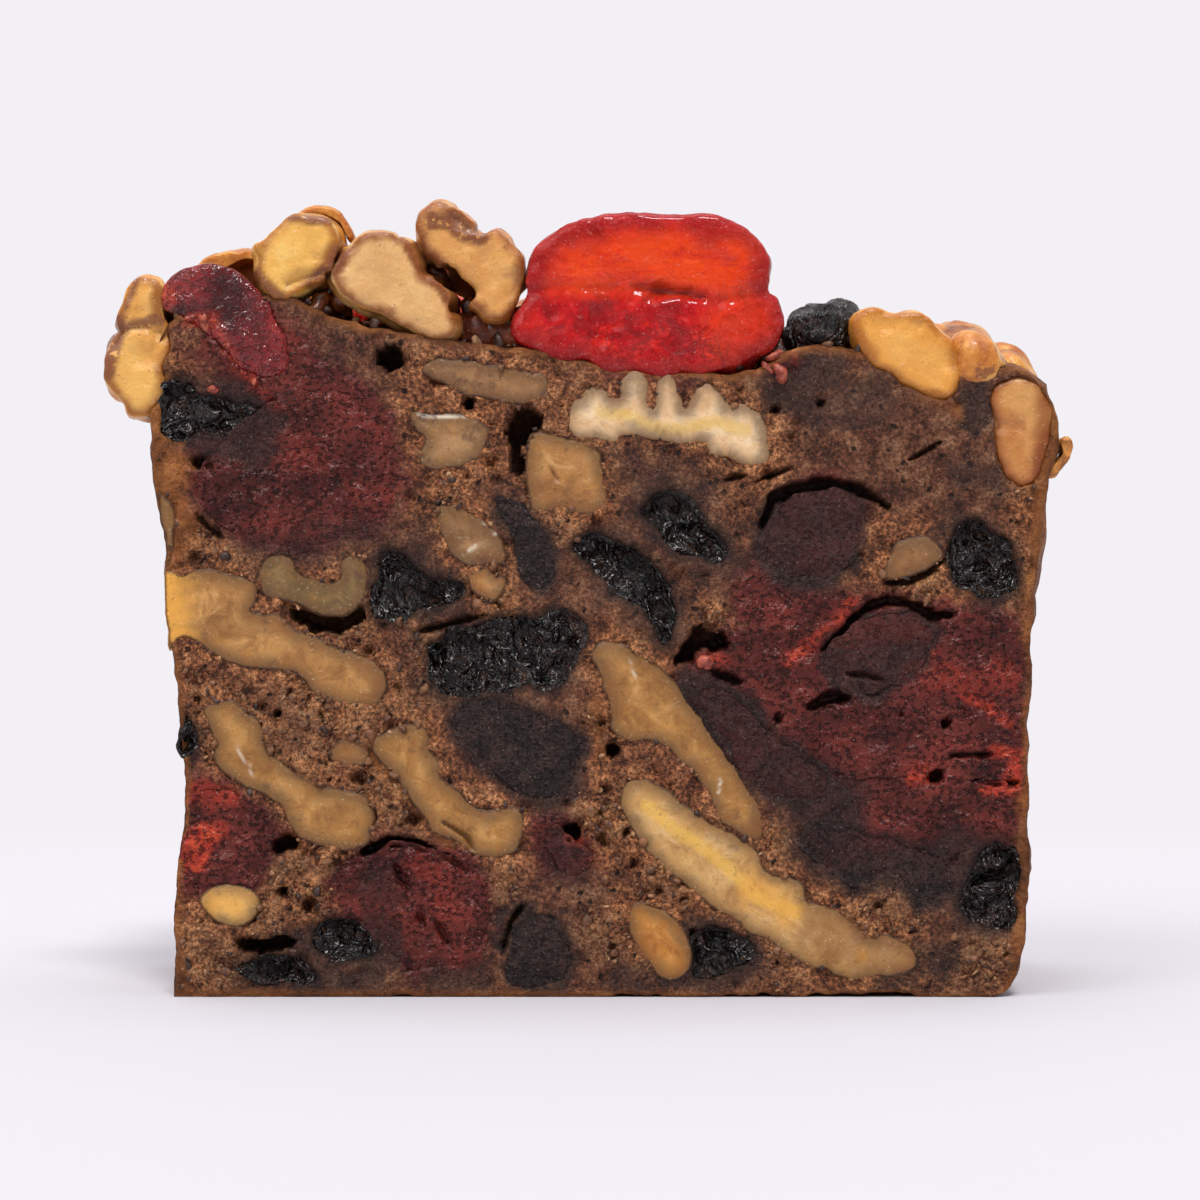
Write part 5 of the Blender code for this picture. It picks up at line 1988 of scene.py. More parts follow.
@dataclass
class Skin:
    """The surface of a piece as arrays.

    Attributes:
        points: Its points, shape (n, 3).
        faces: Its faces as tuples of point numbers.
        edges: Its edges, shape (m, 2).
    """

    points: np.ndarray
    faces: list[tuple[int, ...]]
    edges: np.ndarray

    @classmethod
    def of(cls, node: bpy.types.Object, voxel: float) -> "Skin":
        """The evenly meshed surface of a solid.

        Args:
            node: The solid.
            voxel: Distance between points.

        Returns:
            The surface.
        """
        copy = linked("remeshed", node.data.copy())
        shape = bmesh.new()
        shape.from_mesh(copy.data)
        bmesh.ops.remove_doubles(shape, verts=shape.verts, dist=0.01 * MM)
        shape.to_mesh(copy.data)
        shape.free()
        remesh = copy.modifiers.new("even", "REMESH")
        remesh.mode, remesh.voxel_size = "VOXEL", voxel * MM
        graph = bpy.context.evaluated_depsgraph_get()
        mesh = bpy.data.meshes.new_from_object(copy.evaluated_get(graph))
        edges = np.empty(len(mesh.edges) * 2, int)
        mesh.edges.foreach_get("vertices", edges)
        faces = [tuple(polygon.vertices) for polygon in mesh.polygons]
        skin = cls(points_of(mesh), faces, edges.reshape(-1, 2))
        bpy.data.objects.remove(copy)
        bpy.data.meshes.remove(mesh)
        return skin

    def smoothed(self, passes: int) -> None:
        """Moves every point towards the mean of its neighbours.

        Args:
            passes: How often it is done.
        """
        a, b = self.edges.T
        count = np.bincount(np.r_[a, b], minlength=len(self.points))[:, None]
        for _ in range(passes):
            total = np.zeros_like(self.points)
            for k in range(3):
                total[:, k] = np.bincount(a, self.points[b, k], len(total))
                total[:, k] += np.bincount(b, self.points[a, k], len(total))
            self.points = 0.5 * self.points + 0.5 * total / np.maximum(count, 1)

    def normals(self) -> np.ndarray:
        """Unit normals at the points, shape (n, 3)."""
        quads = np.array([face if len(face) == 4 else face + face[-1:] for face in self.faces])
        a, b, c, d = (self.points[quads[:, k]] for k in range(4))
        across = np.cross(c - a, d - b)
        total = np.zeros_like(self.points)
        for corner in quads.T:
            for k in range(3):
                total[:, k] += np.bincount(corner, across[:, k], len(total))
        return total / np.maximum(np.linalg.norm(total, axis=1, keepdims=True), 1e-12)

    def pushed(self, distance: np.ndarray) -> None:
        """Moves the points out along the normals."""
        self.points = self.points + self.normals() * distance[:, None]

    def made(self, name: str, **measures: np.ndarray) -> bpy.types.Object:
        """Makes the object.

        Args:
            name: Its name.
            measures: Measures that its material reads.

        Returns:
            The finished object.
        """
        draft = Draft(*measures)
        draft.add(self.points, **measures)
        draft.faces = self.faces
        return draft.made(name)


@dataclass
class Topping:
    """A nut or fruit of the topping.

    Attributes:
        node: Its solid, which gives how far in it starts and ends.
        finish: Its look.
        corners: Corners of its silhouette seen from the front, or none for the solid's shape.
        sliced: Whether the knife left a flat face in front.
        swell: How far the surface stands outside the plain shape.
        voxel: Distance between the points of its surface.
        ragged: How far its outline strays in and out.
        sections: Number of sections that its plain shape is built from.
    """

    node: bpy.types.Object
    finish: Finish
    corners: Corners = ()
    sliced: bool = False
    swell: float = 0.25
    voxel: float = 0.32
    ragged: float = 0.32
    sections: int = 15

    def __post_init__(self) -> None:
        """Reads how far in the solid starts and ends."""
        self.seed = seed_of(self.node.name)
        self.low, self.high = reach(self.node)

    @property
    def silhouette(self) -> Outline:
        """Its slightly ragged outline seen from the front."""
        return Outline.through(self.corners).spaced(0.4).roughened(self.ragged, 1.5, self.seed)

    def _section_size(self, share: float) -> float:
        """Size of the section at a share of the depth, 1 where it fills the silhouette."""
        off, power = (share, 2.8) if self.sliced else (abs(2.0 * share - 1.0), 2.6)
        return max(0.35, (1.0 - off**power) ** (1 / power))

    def _blank(self) -> Skin:
        """The plain shape that the relief goes on."""
        if not self.corners:
            return Skin.of(self.node, self.voxel)
        outline = self.silhouette if self.sliced else self.silhouette.moved_out(self.swell)
        shares = np.linspace(0.0, 1.0, self.sections)
        draft = Draft()
        draft.body([outline.sized(self._section_size(share)) for share in shares],
                   self.low + shares * (self.high - self.low), 0.8)
        plain = draft.made("plain")
        skin = Skin.of(plain, self.voxel)
        bpy.data.objects.remove(plain)
        return skin

    def _inward(self, skin: Skin) -> np.ndarray:
        """Distance of each point from the silhouette, or a large one without a silhouette."""
        if not self.corners:
            return np.full(len(skin.points), 9.0)
        return -self.silhouette.distance(skin.points[:, [0, 2]])

    def _cut_share(self, skin: Skin) -> np.ndarray:
        """How far each point lies in a face that the knife left, from 0 to 1."""
        planes = [self.low, BACK] if self.sliced else [BACK]
        gaps = [np.abs(skin.points[:, 1] - plane) for plane in planes]
        return ease(0.4, 0.1, np.min(gaps, axis=0))

    def _marks(self, skin: Skin) -> dict[str, np.ndarray]:
        """The marks on the side that faces the front, by measure."""
        facing = ease(6.0, 3.0, skin.points[:, 1] - self.low) * (self.low < FRONT + 3.0)
        found = marked(skin.points[:, [0, 2]], FRONT)
        return {name: values * facing for name, values in found.items()}


@dataclass
class GlazedNut(Topping):
    """A walnut piece under its glaze, with its folds' pitch and depth."""

    fold_pitch: float = 4.6
    fold_depth: float = 1.3

    def build(self) -> bpy.types.Object:
        """Builds the folded kernel; a face that the knife left stays nearly flat."""
        skin = self._blank()
        cut = self._cut_share(skin)
        skin.smoothed(1 if self.sliced else 5)
        marks = self._marks(skin)
        folds = fractal(skin.points, self.fold_pitch, 2, self.seed, folded=True)
        relief = self.fold_depth * (np.minimum(folds, 0.6) - 0.42) + self.swell
        relief += 0.2 * fractal(skin.points, 1.6, 4, self.seed + 3)
        if self.sliced:
            relief *= ease(0.2, 2.6, skin.points[:, 1] - self.low)
        chips = 0.7 * np.minimum(fractal(skin.points, 2.8, 4, self.seed + 5) + 0.12, 0.0)
        skin.pushed(relief * (1.0 - cut) + chips * cut - marks["crease"])
        skin.smoothed(1)
        skin.points[:, 2] = np.maximum(skin.points[:, 2], 0.0)
        rim = 0.6 * ease(0.05, 0.5, cut) * ease(0.98, 0.6, cut)
        fold = np.maximum(ease(0.30, 0.0, folds) * (1.0 - cut), rim)
        fold = np.maximum(fold, np.clip(1.4 * marks["crease"], 0.0, 1.0))
        shown = {name: marks[name] for name in ("skin", "gold", "toast")}
        made = skin.made("glazed_" + self.node.name, cut=cut, inward=self._inward(skin),
                         fold=fold, **shown)
        return worn(made, self.finish, self.node)


@dataclass
class SoftFruit(Topping):
    """A loose raisin or dark cherry, with its wrinkles' depth and pitch."""

    wrinkle: float = 0.8
    wrinkle_pitch: float = 2.4

    def build(self) -> bpy.types.Object:
        """Builds the wrinkled fruit."""
        skin = self._blank()
        skin.smoothed(4)
        cut, marks = self._cut_share(skin), self._marks(skin)
        folds = fractal(skin.points, self.wrinkle_pitch, 3, self.seed, folded=True)
        skin.pushed(self.wrinkle * (folds - 0.45) * (1.0 - 0.5 * cut) + self.swell * (1.0 - cut)
                    - np.minimum(marks["gap"], 0.6))
        made = skin.made("soft_" + self.node.name, inward=np.full(len(skin.points), 1.0),
                         red=marks["red"], stain=marks["stain"])
        return worn(made, self.finish, self.node)


@dataclass
class CandiedCherry(Topping):
    """A candied cherry, cut by the knife: two thick lobes that fold along a deep groove.

    Attributes:
        groove: Corners of the groove in its cut face.
        groove_depth: Depth of the groove.
        cavity: Corners of the open cavity in the groove.
        grit_line: Corners of the dark gritty patch.
        lobe: Middle (x, z) of the patch low down where a glow is painted, as if light shone
            through.
    """

    groove: Corners = (-5, 58.9, -2.5, 59.3, 2, 59.3, 6.5, 58.7, 11, 58.1, 15.6, 58.9)
    groove_depth: float = 0.3
    cavity: Corners = (4.2, 59.3, 7.2, 58.9, 9.8, 58.4)
    grit_line: Corners = (2.6, 54.2, 5.4, 55, 8.6, 54.4, 10.6, 53.4)
    lobe: Corners = (13, 55.6)

    def build(self) -> bpy.types.Object:
        """Builds the swollen cherry with its groove, its painted glow and its gritty patch."""
        skin = self._blank()
        skin.smoothed(5)
        places = skin.points[:, [0, 2]]
        frontal = ease(FRONT + 5.0, FRONT + 2.0, skin.points[:, 1])
        wobble = 0.3 * fractal(skin.points, 1.6, 3, 41)
        broad = 0.5 * fractal(skin.points, 3.5, 3, 42)
        away, to_cavity, to_grit, to_lobe = (
            followed(places, line)[0]
            for line in (self.groove, self.cavity, self.grit_line, self.lobe)
        )
        cavity = ease(0.7, 0.1, to_cavity + 1.6 * wobble) * frontal
        rugged = 0.12 + 0.4 * ease(59.0, 57.0, places[:, 1])
        relief = rugged * fractal(skin.points, 2.2, 4, 43) + self.swell
        relief += 0.1 * fractal(skin.points, 0.9, 2, 44)
        relief -= self.groove_depth * ease(0.9, 0.05, away + wobble) * frontal + 0.7 * cavity
        skin.pushed(relief)
        skin.smoothed(1)
        low, high = skin.points.min(axis=0), skin.points.max(axis=0)
        across, _, up = ((skin.points - low) / (high - low)).T
        # A glow is painted in the upper lobe, clear of the rind, and in a patch low down, as if
        # light shone through.
        glow = ease(0.44, 0.6, up) * ease(0.97, 0.76, up)
        glow = glow * ease(0.04, 0.26, across) * ease(0.97, 0.86, across)
        glow = (glow + 0.5 * ease(4.4, 2.0, to_lobe)) * (0.95 + 0.8 * broad)
        # The groove and the open cavity are painted dark as painted shade.
        split = 0.3 * ease(0.34, 0.06, away + wobble) * frontal
        made = skin.made(
            "candied_" + self.node.name, glow=np.clip(glow, 0.0, 1.0),
            rind=ease(2.0, 0.3, self._inward(skin) + 1.6 * broad),
            grit=ease(2.4, 0.8, to_grit + 2.0 * wobble) * frontal,
            crack=np.maximum(0.7 * cavity, split),
        )
        return worn(made, self.finish, self.node)


# ---------------------------------------------------------------------------------------------
# Small loose things
# ---------------------------------------------------------------------------------------------


@dataclass
class Lumps:
    """Many small lumps of one kind, joined in one mesh.

    Attributes:
        name: The piece's name.
        finish: Their look.
        slot: Their material slot name.
        places: Their middles, shape (n, 3).
        sizes: Their lengths along X, Y and Z before they are turned, shape (n, 3).
        turns: Their turns about Y in degrees.
        detail: Subdivisions of the ball that each starts from.
        unevenness: Height of their dents as a share of their size.
    """

    name: str
    finish: Finish
    slot: str
    places: np.ndarray
    sizes: np.ndarray
    turns: np.ndarray
    detail: int
    unevenness: float

    def build(self) -> bpy.types.Object:
        """Builds every lump from a ball that noise dents."""
        ball = bmesh.new()
        bmesh.ops.create_icosphere(ball, subdivisions=self.detail, radius=0.5)
        unit = np.array([vertex.co[:] for vertex in ball.verts])
        faces = np.array([[vertex.index for vertex in face.verts] for face in ball.faces])
        ball.free()
        count = len(self.places)
        spots = (unit[None] * 1.6 + 7.3 * np.arange(count)[:, None, None]).reshape(-1, 3)
        dents = fractal(spots, 0.9, 2, 51).reshape(count, -1, 1)
        lumps = unit[None] * (1.0 + self.unevenness * dents) * self.sizes[:, None]
        angle = np.radians(self.turns)[:, None]
        across, upward = lumps[..., 0].copy(), lumps[..., 2].copy()
        lumps[..., 0] = across * np.cos(angle) - upward * np.sin(angle)
        lumps[..., 2] = across * np.sin(angle) + upward * np.cos(angle)
        lumps += self.places[:, None]
        lumps[..., 2] = np.maximum(lumps[..., 2], 0.0)
        draft = Draft()
        numbers = draft.add(lumps.reshape(-1, 3)).reshape(count, -1)
        draft.fill(numbers[:, faces].reshape(-1, 3))
        return worn(draft.made(self.name), self.finish, None, self.slot)


def clumps(
    name: str, finish: Finish, slot: str, places: Sequence[float], size: float
) -> Lumps:
    """Uneven lumps, each of a size of its own.

    Args:
        name: The piece's name.
        finish: Their look.
        slot: Their material slot name.
        places: Their middles: x, y, z, x, y, z and so on.
        size: Their mean size.

    Returns:
        The lumps, not yet built.
    """
    middles = np.array(places, float).reshape(-1, 3)
    rng = np.random.default_rng(len(middles))
    sizes = size * (0.6 + 0.8 * rng.random(middles.shape))
    return Lumps(name, finish, slot, middles, sizes, rng.uniform(0.0, 360.0, len(middles)), 3, 0.6)


@dataclass
class Flake:
    """A thin curled flake, such as skin that came off a nut.

    Attributes:
        name: The piece's name.
        finish: Its look.
        slot: Its material slot name.
        line: Corners of its section's middle line.
        thickness: Its thickness in the middle.
        near: Where it starts, in Y.
        far: Where it ends.
        steps: Number of points along its middle line.
        sections: Number of sections from near to far.
    """

    name: str
    finish: Finish
    slot: str
    line: Corners
    thickness: float
    near: float
    far: float
    steps: int = 30
    sections: int = 9

    def build(self) -> bpy.types.Object:
        """Builds the flake as a bent strip that thins out towards its ends."""
        middle = smooth_line(self.line, self.steps)
        along = np.gradient(middle, axis=0)
        along /= np.linalg.norm(along, axis=1, keepdims=True)
        across = np.stack([along[:, 1], -along[:, 0]], axis=1)
        taper = np.sqrt(1.0 - 0.92 * np.linspace(-1.0, 1.0, self.steps)[:, None] ** 4)
        half = 0.5 * self.thickness * taper * across
        outline = Outline.through(np.vstack([middle + half, (middle - half)[::-1]])).spaced(0.2)
        outline = outline.roughened(0.3 * self.thickness, 1.4, 91)
        waves = [0.25 * math.sin(1.7 * k) for k in range(self.sections)]
        draft = Draft("inward")
        draft.body([Outline(outline.corners + (0.0, wave)) for wave in waves],
                   np.linspace(self.near, self.far, self.sections), 0.25, inward=0.1)
        return worn(draft.made(self.name), self.finish, None, self.slot)


@dataclass(frozen=True)
class CrumbTone:
    """Loose crumbs of one tone.

    Attributes:
        name: The tone's name.
        dark: Their darkest colour.
        light: Their lightest colour.
        roughness: Their roughness.
        size: Their mean size.
        tried: How many places in the front face are tried.
        along_nuts: Share of the places along the nuts that get one.
    """

    name: str
    dark: str
    light: str
    roughness: float
    size: float
    tried: int
    along_nuts: float


@dataclass
class LooseCrumbs:
    """Crumbs that the knife broke loose, on the cut faces, along the nuts and on the top.

    Attributes:
        crumb: The crumb that they lie on.
        seed: Picks their places.
        on_top: How many of each tone lie on the top, where they are larger.
        tones: Their tones.
    """

    crumb: Crumb
    seed: int = 12
    on_top: int = 160
    tones: tuple[CrumbTone, ...] = (
        CrumbTone("pale", "#7a5132", "#bd9068", 0.7, 0.26, 2600, 0.05),
        CrumbTone("brown", "#4a2b1a", "#8c5c38", 0.6, 0.4, 5200, 0.12),
        CrumbTone("dark", "#22130d", "#4b3024", 0.5, 0.36, 1800, 0.08),
    )

    def _inside(self, points: np.ndarray) -> np.ndarray:
        """Which places (x, z) lie on a cut face, clear of its edge."""
        borders = self.crumb.borders(40, 30, 3)
        edge = Outline(np.vstack(borders[:2] + [line[::-1] for line in borders[2:]]))
        return edge.distance(points) < -0.3

    def _on_face(self, rng: np.random.Generator, tried: int, plane: float) -> np.ndarray:
        """Places on a cut face, thick where the crumb is loose and nowhere on nuts and fruit.

        Args:
            rng: The random numbers.
            tried: How many places are tried.
            plane: The cut face's place in Y.

        Returns:
            Places, shape (n, 3).
        """
        low, high = np.array((-34.5, 0.4)), np.array((37.5, 56.0))
        points = low + (high - low) * rng.random((tried, 2))
        found = self.crumb.measures(points, plane)
        wanted = 0.02 + found["pale"] - found["hollow"] - found["stain"] - found["dusk"]
        kept = (rng.random(tried) < wanted) & (found["bed"] < 0.05) & self._inside(points)
        found = {name: values[kept] for name, values in found.items()}
        height = self.crumb.heights(points[kept], plane, found)
        return at(points[kept], plane + np.sign(plane) * (height - 0.04))

    def _along_nuts(self, rng: np.random.Generator, share: float) -> np.ndarray:
        """Places along the outlines of the cut nuts in front.

        Args:
            rng: The random numbers.
            share: Share of the places that get a crumb.

        Returns:
            Places, shape (n, 3).
        """
        faces = [piece.faces[FRONT] for piece in self.crumb.pieces if piece.kind is Kind.WALNUT]
        rims = np.vstack([outline.spaced(0.4).corners for outline in faces if outline])
        rims = rims[rng.random(len(rims)) < share]
        rims = rims + rng.normal(0.0, 0.12, rims.shape)
        return at(rims[self._inside(rims)], FRONT + 0.04)

    def _on_top(self, rng: np.random.Generator) -> np.ndarray:
        """Places on the top.

        Args:
            rng: The random numbers.

        Returns:
            Places, shape (n, 3).
        """
        across = rng.uniform(-34.0, 37.0, self.on_top)
        top = pairs(self.crumb.top_edge)
        depth = rng.uniform(FRONT + 0.4, BACK - 0.6, self.on_top)
        return np.stack([across, depth, np.interp(across, top[:, 0], top[:, 1]) + 0.3], axis=1)

    def build(self) -> list[bpy.types.Object]:
        """Builds the crumbs, one piece for each tone."""
        rng = np.random.default_rng(self.seed)
        made = []
        for tone in self.tones:
            places = np.vstack([
                self._on_face(rng, tone.tried, FRONT), self._along_nuts(rng, tone.along_nuts),
                self._on_face(rng, tone.tried // 3, BACK), self._on_top(rng),
            ])
            count = len(places)
            sizes = tone.size * (0.5 + rng.random((count, 3)))
            sizes *= 0.6 + 1.1 * rng.random((count, 1)) ** 3
            sizes[-self.on_top :] *= 2.2
            name = "crumbs_" + tone.name
            finish = GranuleFinish(name, tone.dark, tone.light, tone.roughness)
            turns = rng.uniform(0.0, 360.0, count)
            made.append(Lumps(name, finish, "crumb", places, sizes, turns, 2, 0.65).build())
        return made


# ---------------------------------------------------------------------------------------------
# Light, floor and camera
# ---------------------------------------------------------------------------------------------


@dataclass
class Studio:
    """Pale floor, soft light and the camera.

    Attributes:
        lens: The camera's focal length in mm, on a sensor 36 mm wide.
        distance: From the camera to the front face.
        centre_x: Where the camera looks at, across.
        centre_z: Height of the camera.
        floor_size: Side of the floor.
        backdrop: Colour of the surroundings.
        dim: Strength of the light from the side where the camera stands.
        bright: Strength of the light from above and behind.
    """

    lens: float = 100.0
    distance: float = 277.8
    centre_x: float = 1.33
    centre_z: float = 33.1
    floor_size: float = 12000.0
    backdrop: str = "#f3f0f5"
    dim: float = 0.2
    bright: float = 0.85

    def camera(self) -> None:
        """Sets up the camera, level and square to the front face."""
        data = bpy.data.cameras.new("studio_camera")
        data.lens, data.sensor_width = self.lens, 36.0
        data.clip_start, data.clip_end = 0.01, 100.0
        camera = linked("studio_camera", data)
        camera.location = Vector((self.centre_x, FRONT - self.distance, self.centre_z)) * MM
        camera.rotation_euler = (math.radians(90), 0.0, 0.0)
        bpy.context.scene.camera = camera

    def floor(self) -> None:
        """Lays the floor."""
        corners = 0.5 * self.floor_size * np.array([(-1, -1), (1, -1), (1, 1), (-1, 1)])
        draft = Draft()
        draft.fill(draft.add(np.insert(corners, 2, 0.0, axis=1))[None])
        floor = draft.made("studio_floor")
        floor.data.materials.append(PaperFinish("studio_paper").material())

    def light(self, name: str, direction: tuple[float, float], strength: float,
              spread: float) -> None:
        """Adds a far, soft light.

        Args:
            name: Its name.
            direction: Where it comes from: degrees round from the front to the right, and up.
            strength: Its strength.
            spread: Its apparent size in degrees.
        """
        data = bpy.data.lights.new(name, "SUN")
        data.energy, data.angle = strength, math.radians(spread)
        around, up = (math.radians(value) for value in direction)
        source = Vector((math.sin(around) * math.cos(up), -math.cos(around) * math.cos(up),
                         math.sin(up)))
        linked(name, data).rotation_euler = source.to_track_quat("Z", "Y").to_euler()

    def surroundings(self) -> None:
        """Sets the world: its own colour where it is seen, and a soft sky where it lights."""
        world = bpy.data.worlds.new("studio_world")
        bpy.context.scene.world = world
        world.use_nodes = True
        paint = Paint(world.node_tree)
        place = paint.add("TexCoord", output="Generated")
        lean = paint.add("VectorMath", {0: place, 1: (0.0, 0.5, 0.87)}, output="Value",
                         operation="DOT_PRODUCT")
        sky = paint.add("MapRange", {0: lean, 1: -0.5, 2: 0.9, 3: self.dim, 4: self.bright},
                        interpolation_type="SMOOTHSTEP")
        seen = paint.add("LightPath", output="Is Camera Ray")
        strength = paint.add("Mix", {0: seen, 2: sky, 3: 1.0}, data_type="FLOAT")
        surface = paint.add("Background", {"Color": self.backdrop, "Strength": strength})
        paint.add("OutputWorld", {"Surface": surface})

    def build(self) -> None:
        """Sets up the whole studio."""
        view = bpy.context.scene.view_settings
        view.view_transform, view.look = "Standard", "None"
        self.camera()
        self.floor()
        self.surroundings()
        self.light("key_light", (12, 60), 2.0, 14)
        self.light("fill_light", (-40, 42), 1.0, 40)
        self.light("top_light", (180, 82), 0.7, 30)


# ---------------------------------------------------------------------------------------------
# The slice
# ---------------------------------------------------------------------------------------------

# Middles of the small lumps: x, y, z, x, y, z and so on.
SYRUP_CLUMPS = (
    -26.2, -8.5, 59.8, -24.6, -9.6, 57.7, -22.9, -11, 57.4, -21.2, -10, 57.8, -19.8, -8.8, 58.6,
    -22.4, -7.4, 59.4, -14.2, -8.6, 62, -12.8, -8, 60.2, -12.4, -9.6, 57.8, -10.8, -10.6, 56.4,
    -9.4, -9.2, 57.2, -7.4, -10.2, 56.2, -5.8, -9.2, 56, 15.4, -9.4, 52.9, 16.9, -10.2, 53.8,
    21.8, -8.4, 54.4, 31.4, -9, 53.2, 33.9, -9.4, 51.4, -34.6, -9, 57.4, -36, -10, 56,
)
CANDIED_BITS = (
    -25.6, -13.2, 57, -24.7, -13.3, 56.2, -25.9, -13.3, 55.7, -24.6, -13.2, 57.5,
    -32.8, -13.8, 56.6, -31.6, -13.9, 56.2, -34.8, -13, 58.9, -34.3, -13.3, 58, 15.9, -13.6, 53.5,
    16.8, -13.2, 52.9, 15.4, -13.9, 52.4, 17.6, -12.6, 53.4, 16.3, -13.9, 51.9, -30.9, -14, 50.6,
    10, -13.8, 27.8, -27.4, -13.8, 51.2,
)
